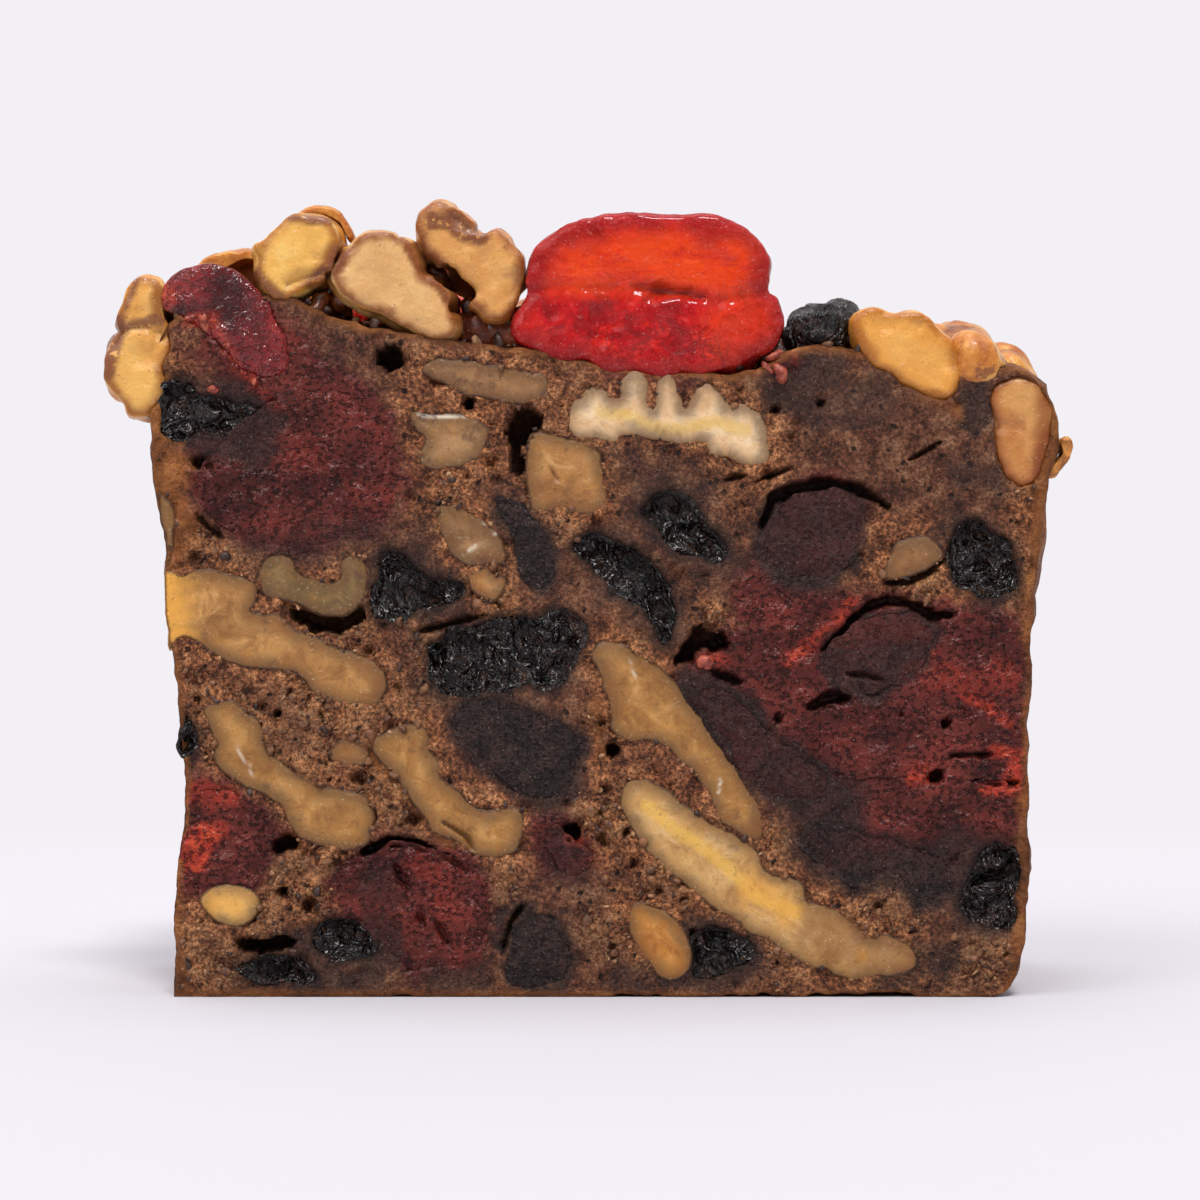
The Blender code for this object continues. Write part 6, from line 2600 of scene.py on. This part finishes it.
# Corners of the sections in the front face, in order round each piece.
CUT_CORNERS: dict[str, Corners] = {
    "walnut_01": (-13.6, 52.3, -11.4, 50.9, -9.4, 50.1, -6.4, 49.4, -4.2, 49.6, -3, 50.6, -3.6, 52,
        -6.4, 52.7, -9.4, 53.1, -12.2, 53.3),
    "walnut_02": (-14.6, 48.9, -14.2, 47.4, -13.4, 46.4, -14.1, 45.2, -13.2, 44.1, -11.2, 43.9,
        -9.3, 44.6, -8.2, 45.8, -7.9, 47.2, -9, 48.1, -11, 48.7, -12.8, 48.6),
    "walnut_03": (-4.9, 46.2, -5, 43.2, -4.7, 41.4, -4.2, 40.5, -2.6, 40.6, -0.8, 40.4, 0.8, 40.2,
        1.8, 41, 1.9, 42.6, 1.5, 44.2, 1.3, 45.6, 0.2, 46.2, -1.6, 46.6, -3.4, 47.2, -4.4, 47.2),
    "walnut_04": (-1.6, 48, -1.2, 47, -0.2, 46.4, 1.2, 46.4, 2.8, 46.1, 3.4, 46.7, 6, 46.4,
        8, 46.2, 9.9, 46.2, 10.5, 45.1, 12, 44.8, 14, 44.2, 15.2, 44.6, 15.5, 45.8, 15.3, 47.4,
        14.4, 48.9, 13.2, 49.4, 12.1, 49.2, 11.5, 50.5, 10.4, 51.1, 9.2, 50.8, 8.9, 49.8,
        8.4, 49.1, 8, 49.9, 7.9, 51.2, 7, 51.9, 6.1, 51.4, 5.9, 50.2, 5.65, 49.3, 5.4, 50.2,
        5.4, 51.3, 4.9, 51.9, 4.1, 52.1, 3.2, 51.7, 2.9, 50.9, 3, 50, 2.5, 49.9, 2, 50.6, 0.9, 51,
        -0.2, 50.2, -1.1, 49.5),
    "walnut_05": (-12.3, 40.9, -12.4, 39.6, -11.8, 38.2, -11, 36.9, -9.6, 36, -8, 35.9, -6.7, 36.2,
        -6.6, 37.2, -7, 38.4, -8.2, 39.5, -9.4, 40.4, -10.6, 41),
    "walnut_06": (-27.2, 35.5, -27.1, 34.4, -26.5, 33.5, -25.2, 33.1, -23.6, 32.6, -22, 31.8,
        -20.2, 31.6, -19, 32.2, -18.2, 33.4, -18, 34.8, -18.1, 36.1, -18.9, 36.9, -19.9, 37,
        -20.5, 36.2, -20.4, 35.2, -21.2, 34.6, -22.4, 35.1, -23.6, 35.4, -24.2, 36.6, -25.4, 37,
        -26.6, 36.5),
    "walnut_07": (-34.9, 35.3, -34.8, 32, -34.6, 29.3, -34.2, 29.3, -33.4, 30, -32.2, 29.6,
        -31.2, 28.8, -30, 27.9, -28, 27.3, -26.2, 27.2, -24.4, 27.1, -23.4, 26.4, -22.8, 25.5,
        -21.4, 24.8, -19.5, 24.1, -17.6, 24.3, -16.4, 25.5, -16.6, 27.2, -18, 28.4, -20, 29,
        -22, 29.8, -23.8, 30.6, -25, 31.6, -25.8, 32, -26.8, 31.9, -27.6, 32, -27.8, 32.3,
        -27.2, 33.1, -27.3, 34.4, -28.2, 35, -29.8, 35.4, -31.6, 35.7, -33.5, 35.4),
    "walnut_08": (-31.7, 24, -31.3, 22.6, -30.8, 21.2, -30.9, 20, -30.2, 18.8, -28.8, 17.8,
        -26.9, 16.8, -25.6, 15.9, -24.9, 14.8, -24, 13.6, -22.6, 12.6, -21, 12.3, -19.4, 12.2,
        -18, 12.9, -17.4, 14.2, -17.3, 15.4, -18, 16.6, -19.2, 17.2, -21, 17.4, -22.1, 17.6,
        -22.6, 18.6, -24.4, 19.1, -25.4, 19.9, -26.5, 20.5, -26.7, 21.8, -27, 22.9, -28.2, 23.9,
        -29.2, 24.7, -30.6, 24.8),
    "walnut_09": (-17.6, 21.2, -17, 19.6, -16.1, 18.8, -15.2, 17.3, -14.2, 16.1, -13.3, 14.9,
        -12.7, 13.9, -11.7, 13.3, -10.5, 12.8, -9.6, 12, -8.6, 11.8, -7.4, 11.5, -6.3, 11.7,
        -5.4, 12.4, -4.9, 13.6, -4.9, 14.9, -5.5, 15.7, -7, 15.8, -8.8, 15.8, -9.8, 16.5,
        -10.6, 17.5, -11.7, 18.3, -12.1, 19.6, -12.8, 20.6, -12.9, 22, -13.8, 22.9, -15.2, 22.8,
        -16.6, 22.2),
    "walnut_10": (0.6, 28.6, 1.4, 29.7, 2.8, 29.9, 4, 29, 5.6, 28.2, 6.8, 27.3, 7.7, 26.1,
        8.5, 24.8, 9.6, 23.4, 10.8, 21.7, 12, 20.2, 13.1, 18.5, 14.2, 17, 15, 15.2, 15.1, 13.7,
        14.4, 13.1, 13.2, 13.4, 12, 14.2, 11, 15, 10.6, 16.2, 10, 17.5, 9.1, 18.7, 7.9, 19.8,
        6.6, 20.9, 5.4, 21.3, 4.2, 21.1, 3, 21.5, 2.2, 22.5, 2, 24.2, 1.5, 25.8, 1, 27.2),
    "walnut_11": (3.1, 17.5, 3.8, 18.3, 5.2, 18.3, 6.5, 17.6, 7.8, 16.7, 8.9, 15.7, 10, 15,
        11.4, 14.4, 12.8, 13.6, 14.1, 12.6, 14.9, 11.6, 15.2, 10.6, 16.4, 10.3, 17.6, 10,
        18.4, 9.2, 18.6, 8, 20, 7.7, 21.6, 7.1, 22.8, 6.2, 23.8, 5.3, 25.4, 5.2, 27, 4.5,
        27.8, 3.3, 27.4, 2.2, 26, 1.8, 24.2, 1.6, 22.6, 1.4, 21.2, 1.8, 20.2, 2.3, 19, 2.4,
        17.8, 3.2, 16.4, 4, 15.2, 4.9, 13.8, 5.3, 12.6, 6.2, 11.2, 7.1, 9.8, 8.2, 8.4, 9.2,
        7, 10.2, 5.8, 11.4, 4.7, 12.8, 3.7, 14.4, 3.1, 16),
    "almond_01": (-32.1, 7.9, -30.8, 6.4, -29, 5.8, -27.5, 6.5, -26.9, 7.9, -27.8, 9.1, -29.6, 9.5,
        -31.3, 9),
    "almond_02": (3.6, 7.2, 4.5, 7.9, 6.2, 7.6, 7.6, 6.6, 8.6, 5.2, 9, 3.6, 8.7, 2, 7.5, 1.3,
        6.2, 1.7, 5.3, 2.7, 4.4, 4.1, 3.7, 5.7),
    "raisin_01": (-35.2, 51.2, -34, 51.7, -32.6, 51.2, -31.8, 50.4, -30.4, 49.9, -28.4, 49.7,
        -27, 49.1, -26.8, 48.2, -27.2, 47.1, -29.4, 46.8, -31.6, 46.9, -33.4, 46.4, -34.7, 46.5,
        -35.3, 47.4, -35.3, 48.6, -35.8, 49.9),
    "raisin_02": (-17.4, 36.6, -15.2, 37.2, -14.3, 36.2, -13.2, 35.4, -11.4, 35, -10, 34.6,
        -9.9, 33.4, -11, 32.7, -12.6, 32.4, -13.8, 32, -14.6, 31.2, -16.2, 31, -17.7, 31.6,
        -17.9, 33.2, -17.4, 35),
    "raisin_03": (-13.5, 28.2, -13.2, 26.4, -12, 25.5, -9.6, 25.1, -7, 25.2, -5, 25.6, -3, 25.5,
        -1.6, 26, -1.3, 27.2, -0.6, 28.4, 0.2, 29.6, 0.3, 30.8, -0.3, 31.8, -1.6, 32.3, -3.2, 32.2,
        -4.4, 31.6, -5.8, 32, -7.4, 32.1, -8.6, 31.3, -10.4, 31, -12, 30.4, -13.2, 29.6),
    "raisin_04": (-1.4, 37.2, -0.4, 38.4, 1, 38.8, 2.6, 38.4, 3.8, 37.8, 5.2, 36.8, 6.4, 35.8,
        7.2, 34.6, 7.5, 33, 7.8, 30.4, 7.2, 29.1, 6.2, 29.3, 5.7, 31.2, 4.6, 32.7, 3.2, 33,
        2.2, 33.6, 1.8, 34.6, 0.8, 35.4, -0.4, 36.1),
    "raisin_05": (4.2, 40.6, 5.2, 41.6, 6.8, 42.2, 8.4, 42, 9.4, 40.8, 10.4, 39.3, 11.6, 38,
        12.1, 36.7, 10.8, 36.4, 9.2, 36.6, 7.8, 36.7, 6.8, 37.4, 6, 38.6, 5, 39.6),
    "raisin_06": (29.9, 37.4, 30.4, 35.4, 30.8, 33.9, 32.6, 33.4, 35, 33.4, 36.4, 34.2, 36.2, 36.2,
        35.6, 37.8, 34, 39.2, 32.6, 39.7, 31, 39.2),
    "raisin_07": (32.6, 11.8, 34.6, 12.9, 36.2, 12.2, 36.7, 10.4, 36.5, 8.2, 36, 6.4, 34.2, 5.6,
        32.2, 6.2, 31.2, 7.8, 31.6, 9.8),
    "raisin_08": (-29, 2.5, -27.4, 3.3, -25.4, 3.5, -23.8, 3.1, -22.6, 2.4, -21.8, 1.5, -22.8, 0.9,
        -24.8, 0.8, -27, 0.9, -28.4, 1.5),
    "raisin_09": (-22.9, 4.6, -22.2, 5.9, -20.8, 6.7, -19, 6.7, -17.6, 5.8, -16.8, 4.6, -17.4, 3.4,
        -19.6, 2.8, -21.8, 3.2),
    "raisin_10": (9, 5.3, 10.4, 6, 11.8, 5.6, 13.2, 5, 14.4, 4.3, 13.9, 3.2, 12.6, 2.2, 10.8, 1.4,
        9.2, 1.3, 8.7, 2.6, 8.7, 4.1),
    "dark_cherry_01": (-32.2, 43.6, -31.8, 41.2, -30.6, 39.6, -28.4, 38.4, -26, 37.4, -23.6, 37.2,
        -21, 37.6, -19.2, 38.8, -17.4, 40.6, -16.6, 43, -16.4, 45.6, -17, 48, -18.6, 50, -22, 50.6,
        -26, 49.4, -30, 46.6),
    "dark_cherry_02": (-33.2, 15, -31.6, 17.4, -29, 17, -27, 15.6, -26, 14, -26.4, 11.4,
        -27.4, 9.8, -29.6, 9.4, -32, 9.4, -33.4, 10.6),
    "dark_cherry_03": (-19.4, 8, -18.6, 11, -16.6, 12.6, -13.6, 12.7, -10.8, 11.8, -8.6, 10,
        -7.9, 7.4, -8.2, 4.6, -9.6, 2.8, -12, 2.2, -14.6, 2.6, -17.4, 4.4),
    "dark_cherry_04": (18.8, 20.4, 20.2, 22.8, 22.8, 24, 26, 24.2, 28.8, 23.4, 30.2, 21.6,
        29.6, 19.6, 27.6, 18.6, 24.4, 18.2, 21, 18.6),
    "prune_01": (-10.6, 23.4, -10.3, 22, -9.5, 20.6, -8.2, 19.4, -7, 18.1, -5.6, 17.1, -3.6, 16.6,
        -1.8, 17, -0.6, 18.2, 0, 19.8, -0.2, 21.4, -1.4, 22.6, -3, 23.7, -5, 24.6, -7.4, 24.8,
        -9.5, 24.5),
    "prune_02": (15, 39.3, 15.1, 37.5, 16, 35.9, 17.6, 34.9, 19.8, 34.8, 21.6, 35.7, 22.8, 37.4,
        23.3, 39.2, 23, 40.9, 21.9, 41.9, 20.2, 42.2, 18.2, 41.9, 16.3, 41),
    "prune_03": (9.3, 25.9, 9.1, 24.5, 10.8, 22.3, 12.5, 20.1, 14.2, 17.8, 16.2, 16.6, 18.8, 16.4,
        20.4, 17.6, 19.2, 19.4, 17, 20.8, 15, 22.8, 12.8, 24.8, 11, 26.2),
    "prune_04": (20.4, 29.4, 22, 30.9, 23.8, 31.6, 26, 31.9, 27.8, 31.5, 28.8, 30.4, 28.9, 29,
        28.2, 27.4, 26.6, 26.1, 24, 25.3, 21.6, 25.5, 20.1, 26.8),
    "prune_05": (18, 12.6, 19, 11.3, 20.8, 10.2, 22.6, 9.1, 24, 9.7, 25.8, 10, 27.2, 8.6, 29, 8,
        30.6, 9, 30.4, 10.8, 28.4, 12.4, 25.4, 13.4, 22, 13.9, 19.4, 13.8),
    "prune_06": (-6, 1, -6.6, 2.7, -6.2, 4.5, -5.6, 6.1, -4.4, 7.1, -3, 7.1, -2, 6.3, -1.6, 4.9,
        -1.4, 3.2, -2.1, 1.6, -3.8, 0.8),
    "prune_07": (-7.4, 41.8, -5.6, 41.5, -4.4, 40.3, -3.2, 38.6, -2.4, 36.6, -2.6, 34.9,
        -3.8, 33.8, -4.9, 34.5, -5.5, 36.2, -6.2, 38.2, -7, 40),
}

# Corners of the silhouettes of topping pieces, seen from the front.
TOPPING_CORNERS: dict[str, Corners] = {
    "glazed_nut_01": (-36.4, 60.3, -35.4, 60, -35.1, 58.2, -34.8, 55.4, -34.9, 52.2, -35.4, 50,
        -36.6, 48.6, -38.2, 48.5, -38.8, 49.8, -39.8, 51.2, -39.9, 52.8, -39.3, 54.8, -39.1, 56.6,
        -38.4, 58.4, -37.6, 59.9),
    "glazed_nut_02": (-27.6, 62.6, -26.6, 63.2, -25.9, 64.2, -24.6, 65, -22.8, 65.3, -21.5, 65,
        -20.8, 63.8, -20.5, 62.6, -20.8, 61.2, -21.7, 59.9, -23.2, 59.3, -24.4, 58.6, -25.6, 58.3,
        -26.6, 59.3, -27.3, 60.5),
    "glazed_nut_03": (-21, 60.5, -20.5, 59.1, -19.6, 58.3, -18.4, 57.4, -17.2, 56.9, -16, 56.3,
        -14.6, 55.9, -13.4, 55.1, -12.2, 54.8, -11.1, 55.3, -10.5, 56.6, -10.8, 58, -11.9, 59.4,
        -13.3, 60.7, -14.2, 62.2, -15.2, 63.3, -16.8, 63.7, -18.6, 63.6, -19.5, 62.8, -20.4, 61.9),
    "glazed_nut_04": (-14.1, 64.6, -13.8, 65.9, -12.8, 66.3, -11.6, 66.2, -10.2, 65.8, -9.4, 64.9,
        -8.6, 64.1, -7.2, 63.9, -6, 63.2, -5.2, 62, -4.9, 60.6, -5.2, 59.2, -5.9, 57.8, -6.8, 56.8,
        -8.2, 56.7, -9.2, 57.4, -9.9, 58.6, -11.4, 60.2, -12.6, 61.4, -13.6, 62.6),
    "glazed_nut_05": (22.2, 56.4, 23, 57.4, 24.4, 57.6, 25.8, 57.2, 27.2, 57.3, 28.6, 56.6,
        29.8, 55.6, 30.8, 54.4, 31.4, 52.8, 31.4, 51.2, 30.7, 50.2, 29.4, 49.9, 27.8, 50.6,
        25.8, 51.6, 24.4, 52.6, 23.2, 54, 22.5, 55.2),
    "glazed_nut_06": (31.2, 54.5, 32.2, 55, 33.6, 54.7, 34.6, 53.8, 35.1, 52.8, 34.8, 51.8,
        34, 51.1, 32.8, 51.2, 31.5, 51.4, 31.2, 52.8),
    "glazed_nut_07": (33.9, 49.6, 34.5, 50.8, 36.2, 51.6, 37.8, 51.2, 38.7, 49.8, 39, 48.2,
        38.8, 46.4, 38.4, 44.4, 37.6, 42.7, 36.4, 42.3, 35.2, 42.9, 34.5, 44.6, 34.2, 46.8),
    "glazed_nut_10": (-11, 55.6, -10.2, 57, -8, 57.4, -5.8, 57, -4.4, 55.8, -4.6, 54.4, -6.4, 53.6,
        -8.8, 53.5, -10.6, 54.2),
    "raisin_12": (17.3, 55.4, 17.8, 56.7, 19, 57.2, 20.4, 57.8, 22.2, 57.6, 22.7, 56, 22.4, 54.2,
        21, 53.6, 19, 53.6, 17.6, 54.2),
    "dark_cherry_09": (-35.2, 58.8, -34, 60.3, -32.2, 61, -30, 60.7, -28, 59.5, -26.5, 58.2,
        -25.6, 56.6, -24.8, 54.6, -24.6, 52.8, -25.8, 51.6, -27.6, 51.8, -29.4, 53.2, -31, 54.9,
        -33, 56.4, -34.8, 57.4),
    "glace_cherry_01": (-6.1, 56.1, -5.6, 57.3, -4.8, 58.2, -4.9, 59.4, -4.8, 60.6, -4.5, 61.8,
        -3.8, 62.8, -2.5, 63.7, -1.2, 64.5, 1, 65, 4, 65.3, 7.5, 65.2, 10.4, 65.2, 12.5, 64.5,
        14.3, 63.2, 15.4, 61.9, 15.6, 60.6, 15.4, 59.2, 16.2, 58.2, 16.7, 57, 16.6, 55.8,
        15.9, 54.4, 14.6, 53.2, 12.4, 52.2, 9.5, 51.8, 6, 51.8, 3, 52.3, -0.5, 53, -3.2, 53.8,
        -5.2, 54.6, -5.9, 55.3),
}
SLICED_TOPPINGS = (
    "glazed_nut_01", "glazed_nut_02", "glazed_nut_03", "glazed_nut_04", "glazed_nut_05",
    "glazed_nut_07", "glace_cherry_01", "dark_cherry_09",
)

NUT_FINISHES = {
    "walnut_01": CutNutFinish("walnut_smeared", "#7d573a", "#986d48", "#ae8459", smear=0.3),
    "walnut_02": CutNutFinish("walnut_faded", "#8a6440", "#a37a50", "#b89064", smear=0.3),
    "walnut_03": CutNutFinish("walnut_tan", "#95673a", "#b07c46", "#c79a5e", smear=0.15),
    "walnut_04": CutNutFinish("walnut_cream", "#d0a87c", "#e6c397", "#f2dab4",
                              rim="#8a6240", core="#d9b25c", core_share=0.8, smear=0.0),
    "walnut_05": CutNutFinish("walnut_dull", "#74512f", "#8f6843", "#a88459", smear=0.25),
    "walnut_06": CutNutFinish("walnut_olive", "#66502f", "#7e643d", "#94794e", smear=0.25),
    "walnut_07": CutNutFinish("walnut_golden", "#8d6034", "#a87843", "#c99758", smear=0.15),
    "walnut_11": CutNutFinish("walnut_pale", "#a77c48", "#c89c60", "#dcb57c",
                              core="#e0b254", core_share=0.9, smear=0.05),
    "almond_01": CutNutFinish("almond_pale", "#cf9c54", "#dfb066", "#e8c484", smear=0.0),
    "almond_02": CutNutFinish("almond_toasted", "#9d6228", "#b87a36", "#cc944c", smear=0.05),
}
MIDLINES: dict[str, Corners] = {
    "walnut_04": (1.4, 48.7, 3.4, 48.5, 5, 47.9, 6.6, 47.4, 8.4, 47.4, 10.9, 48, 12.4, 47.5,
        13.4, 47.3),
    "walnut_11": (5.2, 16, 7.4, 14.1, 9.4, 12.8, 11.5, 11.2, 13, 9.8, 14.6, 8.3, 16.2, 7.6,
        17.6, 7.1),
}
PLAIN_FINISHES = {
    Kind.WALNUT: CutNutFinish("walnut_cut"),
    Kind.ALMOND: CutNutFinish("almond_cut"),
    Kind.RAISIN: RaisinFinish("raisin_torn"),
    Kind.PRUNE: PruneFinish("prune_cut"),
    Kind.DARK_CHERRY: SoakedCherryFinish("soaked_cherry"),
    Kind.GLAZED_NUT: GlazedNutFinish("walnut_glazed"),
    Kind.GLACE_CHERRY: CandiedCherryFinish("candied_cherry"),
}
GLAZED_FINISHES = {
    "glazed_nut_01": GlazedNutFinish("walnut_amber_edge", "#c17c2c", "#d99740", "#e8b663",
                                     skin_share=0.35, cut_tone="#e0a859", amber="#94541b"),
    "glazed_nut_02": GlazedNutFinish("walnut_honey", "#cf8b2b", "#e3a541", "#efc26d",
                                     skin_share=0.1, cut_tone="#efbf69", amber="#a05f1b"),
    "glazed_nut_03": GlazedNutFinish("walnut_beige", "#ba8142", "#d09a56", "#ddb172",
                                     skin_share=0.2, cut_tone="#e2b57a", amber="#864518"),
    "glazed_nut_04": GlazedNutFinish("walnut_toasted", "#b67236", "#ce8c4a", "#dba562",
                                     skin_share=0.45, cut_tone="#e0a65e", amber="#864518"),
    "glazed_nut_05": GlazedNutFinish("walnut_gold", "#c4781e", "#d69038", "#e6ad5c",
                                     skin_share=0.0, cut_tone="#e8a64e", amber="#a25d18"),
    "glazed_nut_07": GlazedNutFinish("walnut_baked", "#94531f", "#b67738", "#d09a5a",
                                     skin_share=0.3, cut_tone="#c4844a", amber="#844218"),
    "glazed_nut_10": GlazedNutFinish("walnut_in_syrup", "#47190a", "#6f2c14", "#9c4f25",
                                     skin_share=0.3, cut_tone="#8c3818", amber="#6a2408"),
}
SMALL_NUTS: dict[str, tuple[Finish, Corners]] = {
    "olive_walnut": (CutNutFinish("walnut_olive_tan", "#80562f", "#936640", "#a67c4f"), (
        25, 35.2, 25.4, 37, 26.6, 38.2, 28.4, 38.4, 29.8, 37.6, 30, 36.6, 28.6, 35.7, 27.2, 35,
        25.8, 34.8)),
    "small_walnut": (CutNutFinish("walnut_small_tan", "#8a5a30", "#a06f3e", "#b38450"), (
        -21.4, 20.2, -20.8, 19.4, -19.4, 19.1, -18.2, 19.3, -17.9, 20.2, -18.4, 21.2, -19.6, 21.7,
        -20.6, 21.1)),
    "walnut_chip": (CutNutFinish("walnut_chip_tan", "#9a6334", "#bd8148", "#d9ac74"), (
        -9.7, 35.1, -9.2, 33.8, -7.5, 32.9, -6.3, 34.6, -7.4, 35.3, -8.4, 35.9)),
}
FLAKES = (
    Flake("skin_curl", PLAIN_FINISHES[Kind.GLAZED_NUT], "glazed_nut",
          (-24.8, 64.9, -22.8, 65.9, -20.8, 65.4, -19.6, 63.6), 0.5, -11.0, -8.0),
    Flake("skin_behind", PLAIN_FINISHES[Kind.GLAZED_NUT], "glazed_nut",
          (-34.4, 60.6, -31.4, 61.8, -27.6, 62.6), 0.9, -8.0, -3.0),
    Flake("crust_flake", GranuleFinish("crust_crisp", "#7c4118", "#d08a3e", 0.5), "crumb",
          (38.2, 43.6, 39.4, 44, 40.4, 45.2, 40.2, 46.4), 1.0, -13.4, -10.5),
)
# Pieces that show only in the back: the piece in front that each is shaped like, its middle
# (x, z), its turn in degrees and its size beside the other.
BACK_PIECES = (
    ("raisin_03", (9.0, 41.0), 20, 0.8), ("raisin_05", (-9.0, 34.0), 75, 1.0),
    ("raisin_04", (-13.0, 47.0), -30, 0.7), ("raisin_06", (30.0, 12.0), 10, 1.0),
    ("raisin_02", (14.0, 6.0), 160, 1.0), ("raisin_01", (-31.0, 15.0), 90, 0.8),
    ("raisin_10", (-2.0, 15.0), 40, 1.0), ("raisin_09", (33.0, 38.0), 0, 1.0),
    ("walnut_02", (23.0, 47.0), 120, 1.0), ("walnut_05", (-3.0, 45.5), 200, 1.2),
    ("walnut_03", (29.0, 29.0), 30, 1.0), ("walnut_10", (18.0, 27.5), -100, 0.9),
    ("walnut_09", (-9.0, 26.0), 100, 0.8), ("walnut_06", (23.0, 5.5), 170, 0.9),
    ("almond_01", (-9.0, 3.5), 0, 1.0), ("almond_02", (33.6, 46.0), 20, 0.8),
    ("prune_04", (4.0, 32.5), 60, 1.0), ("prune_02", (-28.0, 6.0), 0, 0.8),
    ("prune_07", (13.0, 33.0), 150, 0.9),
)
SYRUPY_CHERRY = SoakedCherryFinish(
    "cherry_in_syrup",
    CherryTones(deep="#430d0e", mid="#741d1e", bright="#9c322d", painted_glint=0.1, grain=0.3),
    roughness=0.14, specular=0.5,
)
SIDE_PIECES = ("walnut_07", "walnut_12")


def finish_of(node_name: str) -> Finish:
    """The finish of a nut or fruit."""
    own = {**NUT_FINISHES, **GLAZED_FINISHES, "dark_cherry_09": SYRUPY_CHERRY}
    return own.get(node_name) or PLAIN_FINISHES[Kind.of(node_name)]


def piece_for(node: bpy.types.Object) -> Union[CutPiece, GlazedNut, SoftFruit, CandiedCherry]:
    """Picks the class that builds a node's looks, with the sizes that the node asks for.

    Args:
        node: A solid of the frame, but not the crumb's.

    Returns:
        The piece, not yet built.
    """
    kind, finish = Kind.of(node.name), finish_of(node.name)
    form = TOPPING_CORNERS.get(node.name, ()), node.name in SLICED_TOPPINGS
    if kind is Kind.GLAZED_NUT:
        return GlazedNut(node, finish, *form, swell=0.3 if form[0] else 0.9)
    if kind is Kind.GLACE_CHERRY:
        return CandiedCherry(node, finish, *form, swell=0.15, ragged=0.12)
    if form[0] or cut_outline(node, FRONT) is None:
        return SoftFruit(node, finish, *form, wrinkle=0.3 if kind is Kind.DARK_CHERRY else 0.8)
    corners, midline = CUT_CORNERS.get(node.name, ()), MIDLINES.get(node.name, ())
    return CutPiece(node.name, kind, finish, node, corners, midline, node.name in SIDE_PIECES)


def back_pieces() -> list[CutPiece]:
    """The pieces that show only in the back."""
    made = []
    for k, (model, middle, turn, size) in enumerate(BACK_PIECES):
        corners = pairs(CUT_CORNERS[model])
        angle = math.radians(turn)
        spin = np.array(((math.cos(angle), -math.sin(angle)), (math.sin(angle), math.cos(angle))))
        corners = (corners - corners.mean(axis=0)) @ spin * (size, size) + middle
        made.append(CutPiece(f"back_{k + 1:02d}_{model[:-3]}", Kind.of(model), finish_of(model),
                             corners=tuple(corners.ravel()), plane=BACK))
    return made


def main() -> None:
    """Builds the slice piece by piece, then the studio."""
    logging.basicConfig(level=logging.INFO, format="%(message)s")
    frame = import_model()
    nodes = frame["nodes"]
    parts = [piece_for(node) for name, node in sorted(nodes.items()) if name != "crumb"]
    parts += [CutPiece(name, Kind.WALNUT, finish, corners=corners)
              for name, (finish, corners) in SMALL_NUTS.items()]
    parts += back_pieces()
    cut = [part for part in parts if isinstance(part, CutPiece)]
    sunk = [part.silhouette for part in parts if isinstance(part, Topping) and part.sliced]
    crumb = Crumb(nodes["crumb"], cut, sunk)
    parts += [crumb, *FLAKES]
    parts.append(clumps("syrup_clumps", GranuleFinish("syrup_set", "#32140a", "#7c3c14", 0.22),
                        "glazed_nut", SYRUP_CLUMPS, 3.0))
    parts.append(clumps("candied_bits", GranuleFinish("candied_bit", "#6e2016", "#bd6048", 0.35),
                        "dark_cherry", CANDIED_BITS, 1.0))
    for part in parts:
        made = part.build()
        log.info("%s: %d faces", made.name, len(made.data.polygons))
    for made in LooseCrumbs(crumb).build():
        log.info("%s: %d faces", made.name, len(made.data.polygons))
    Studio().build()


if __name__ == "__main__":
    main()
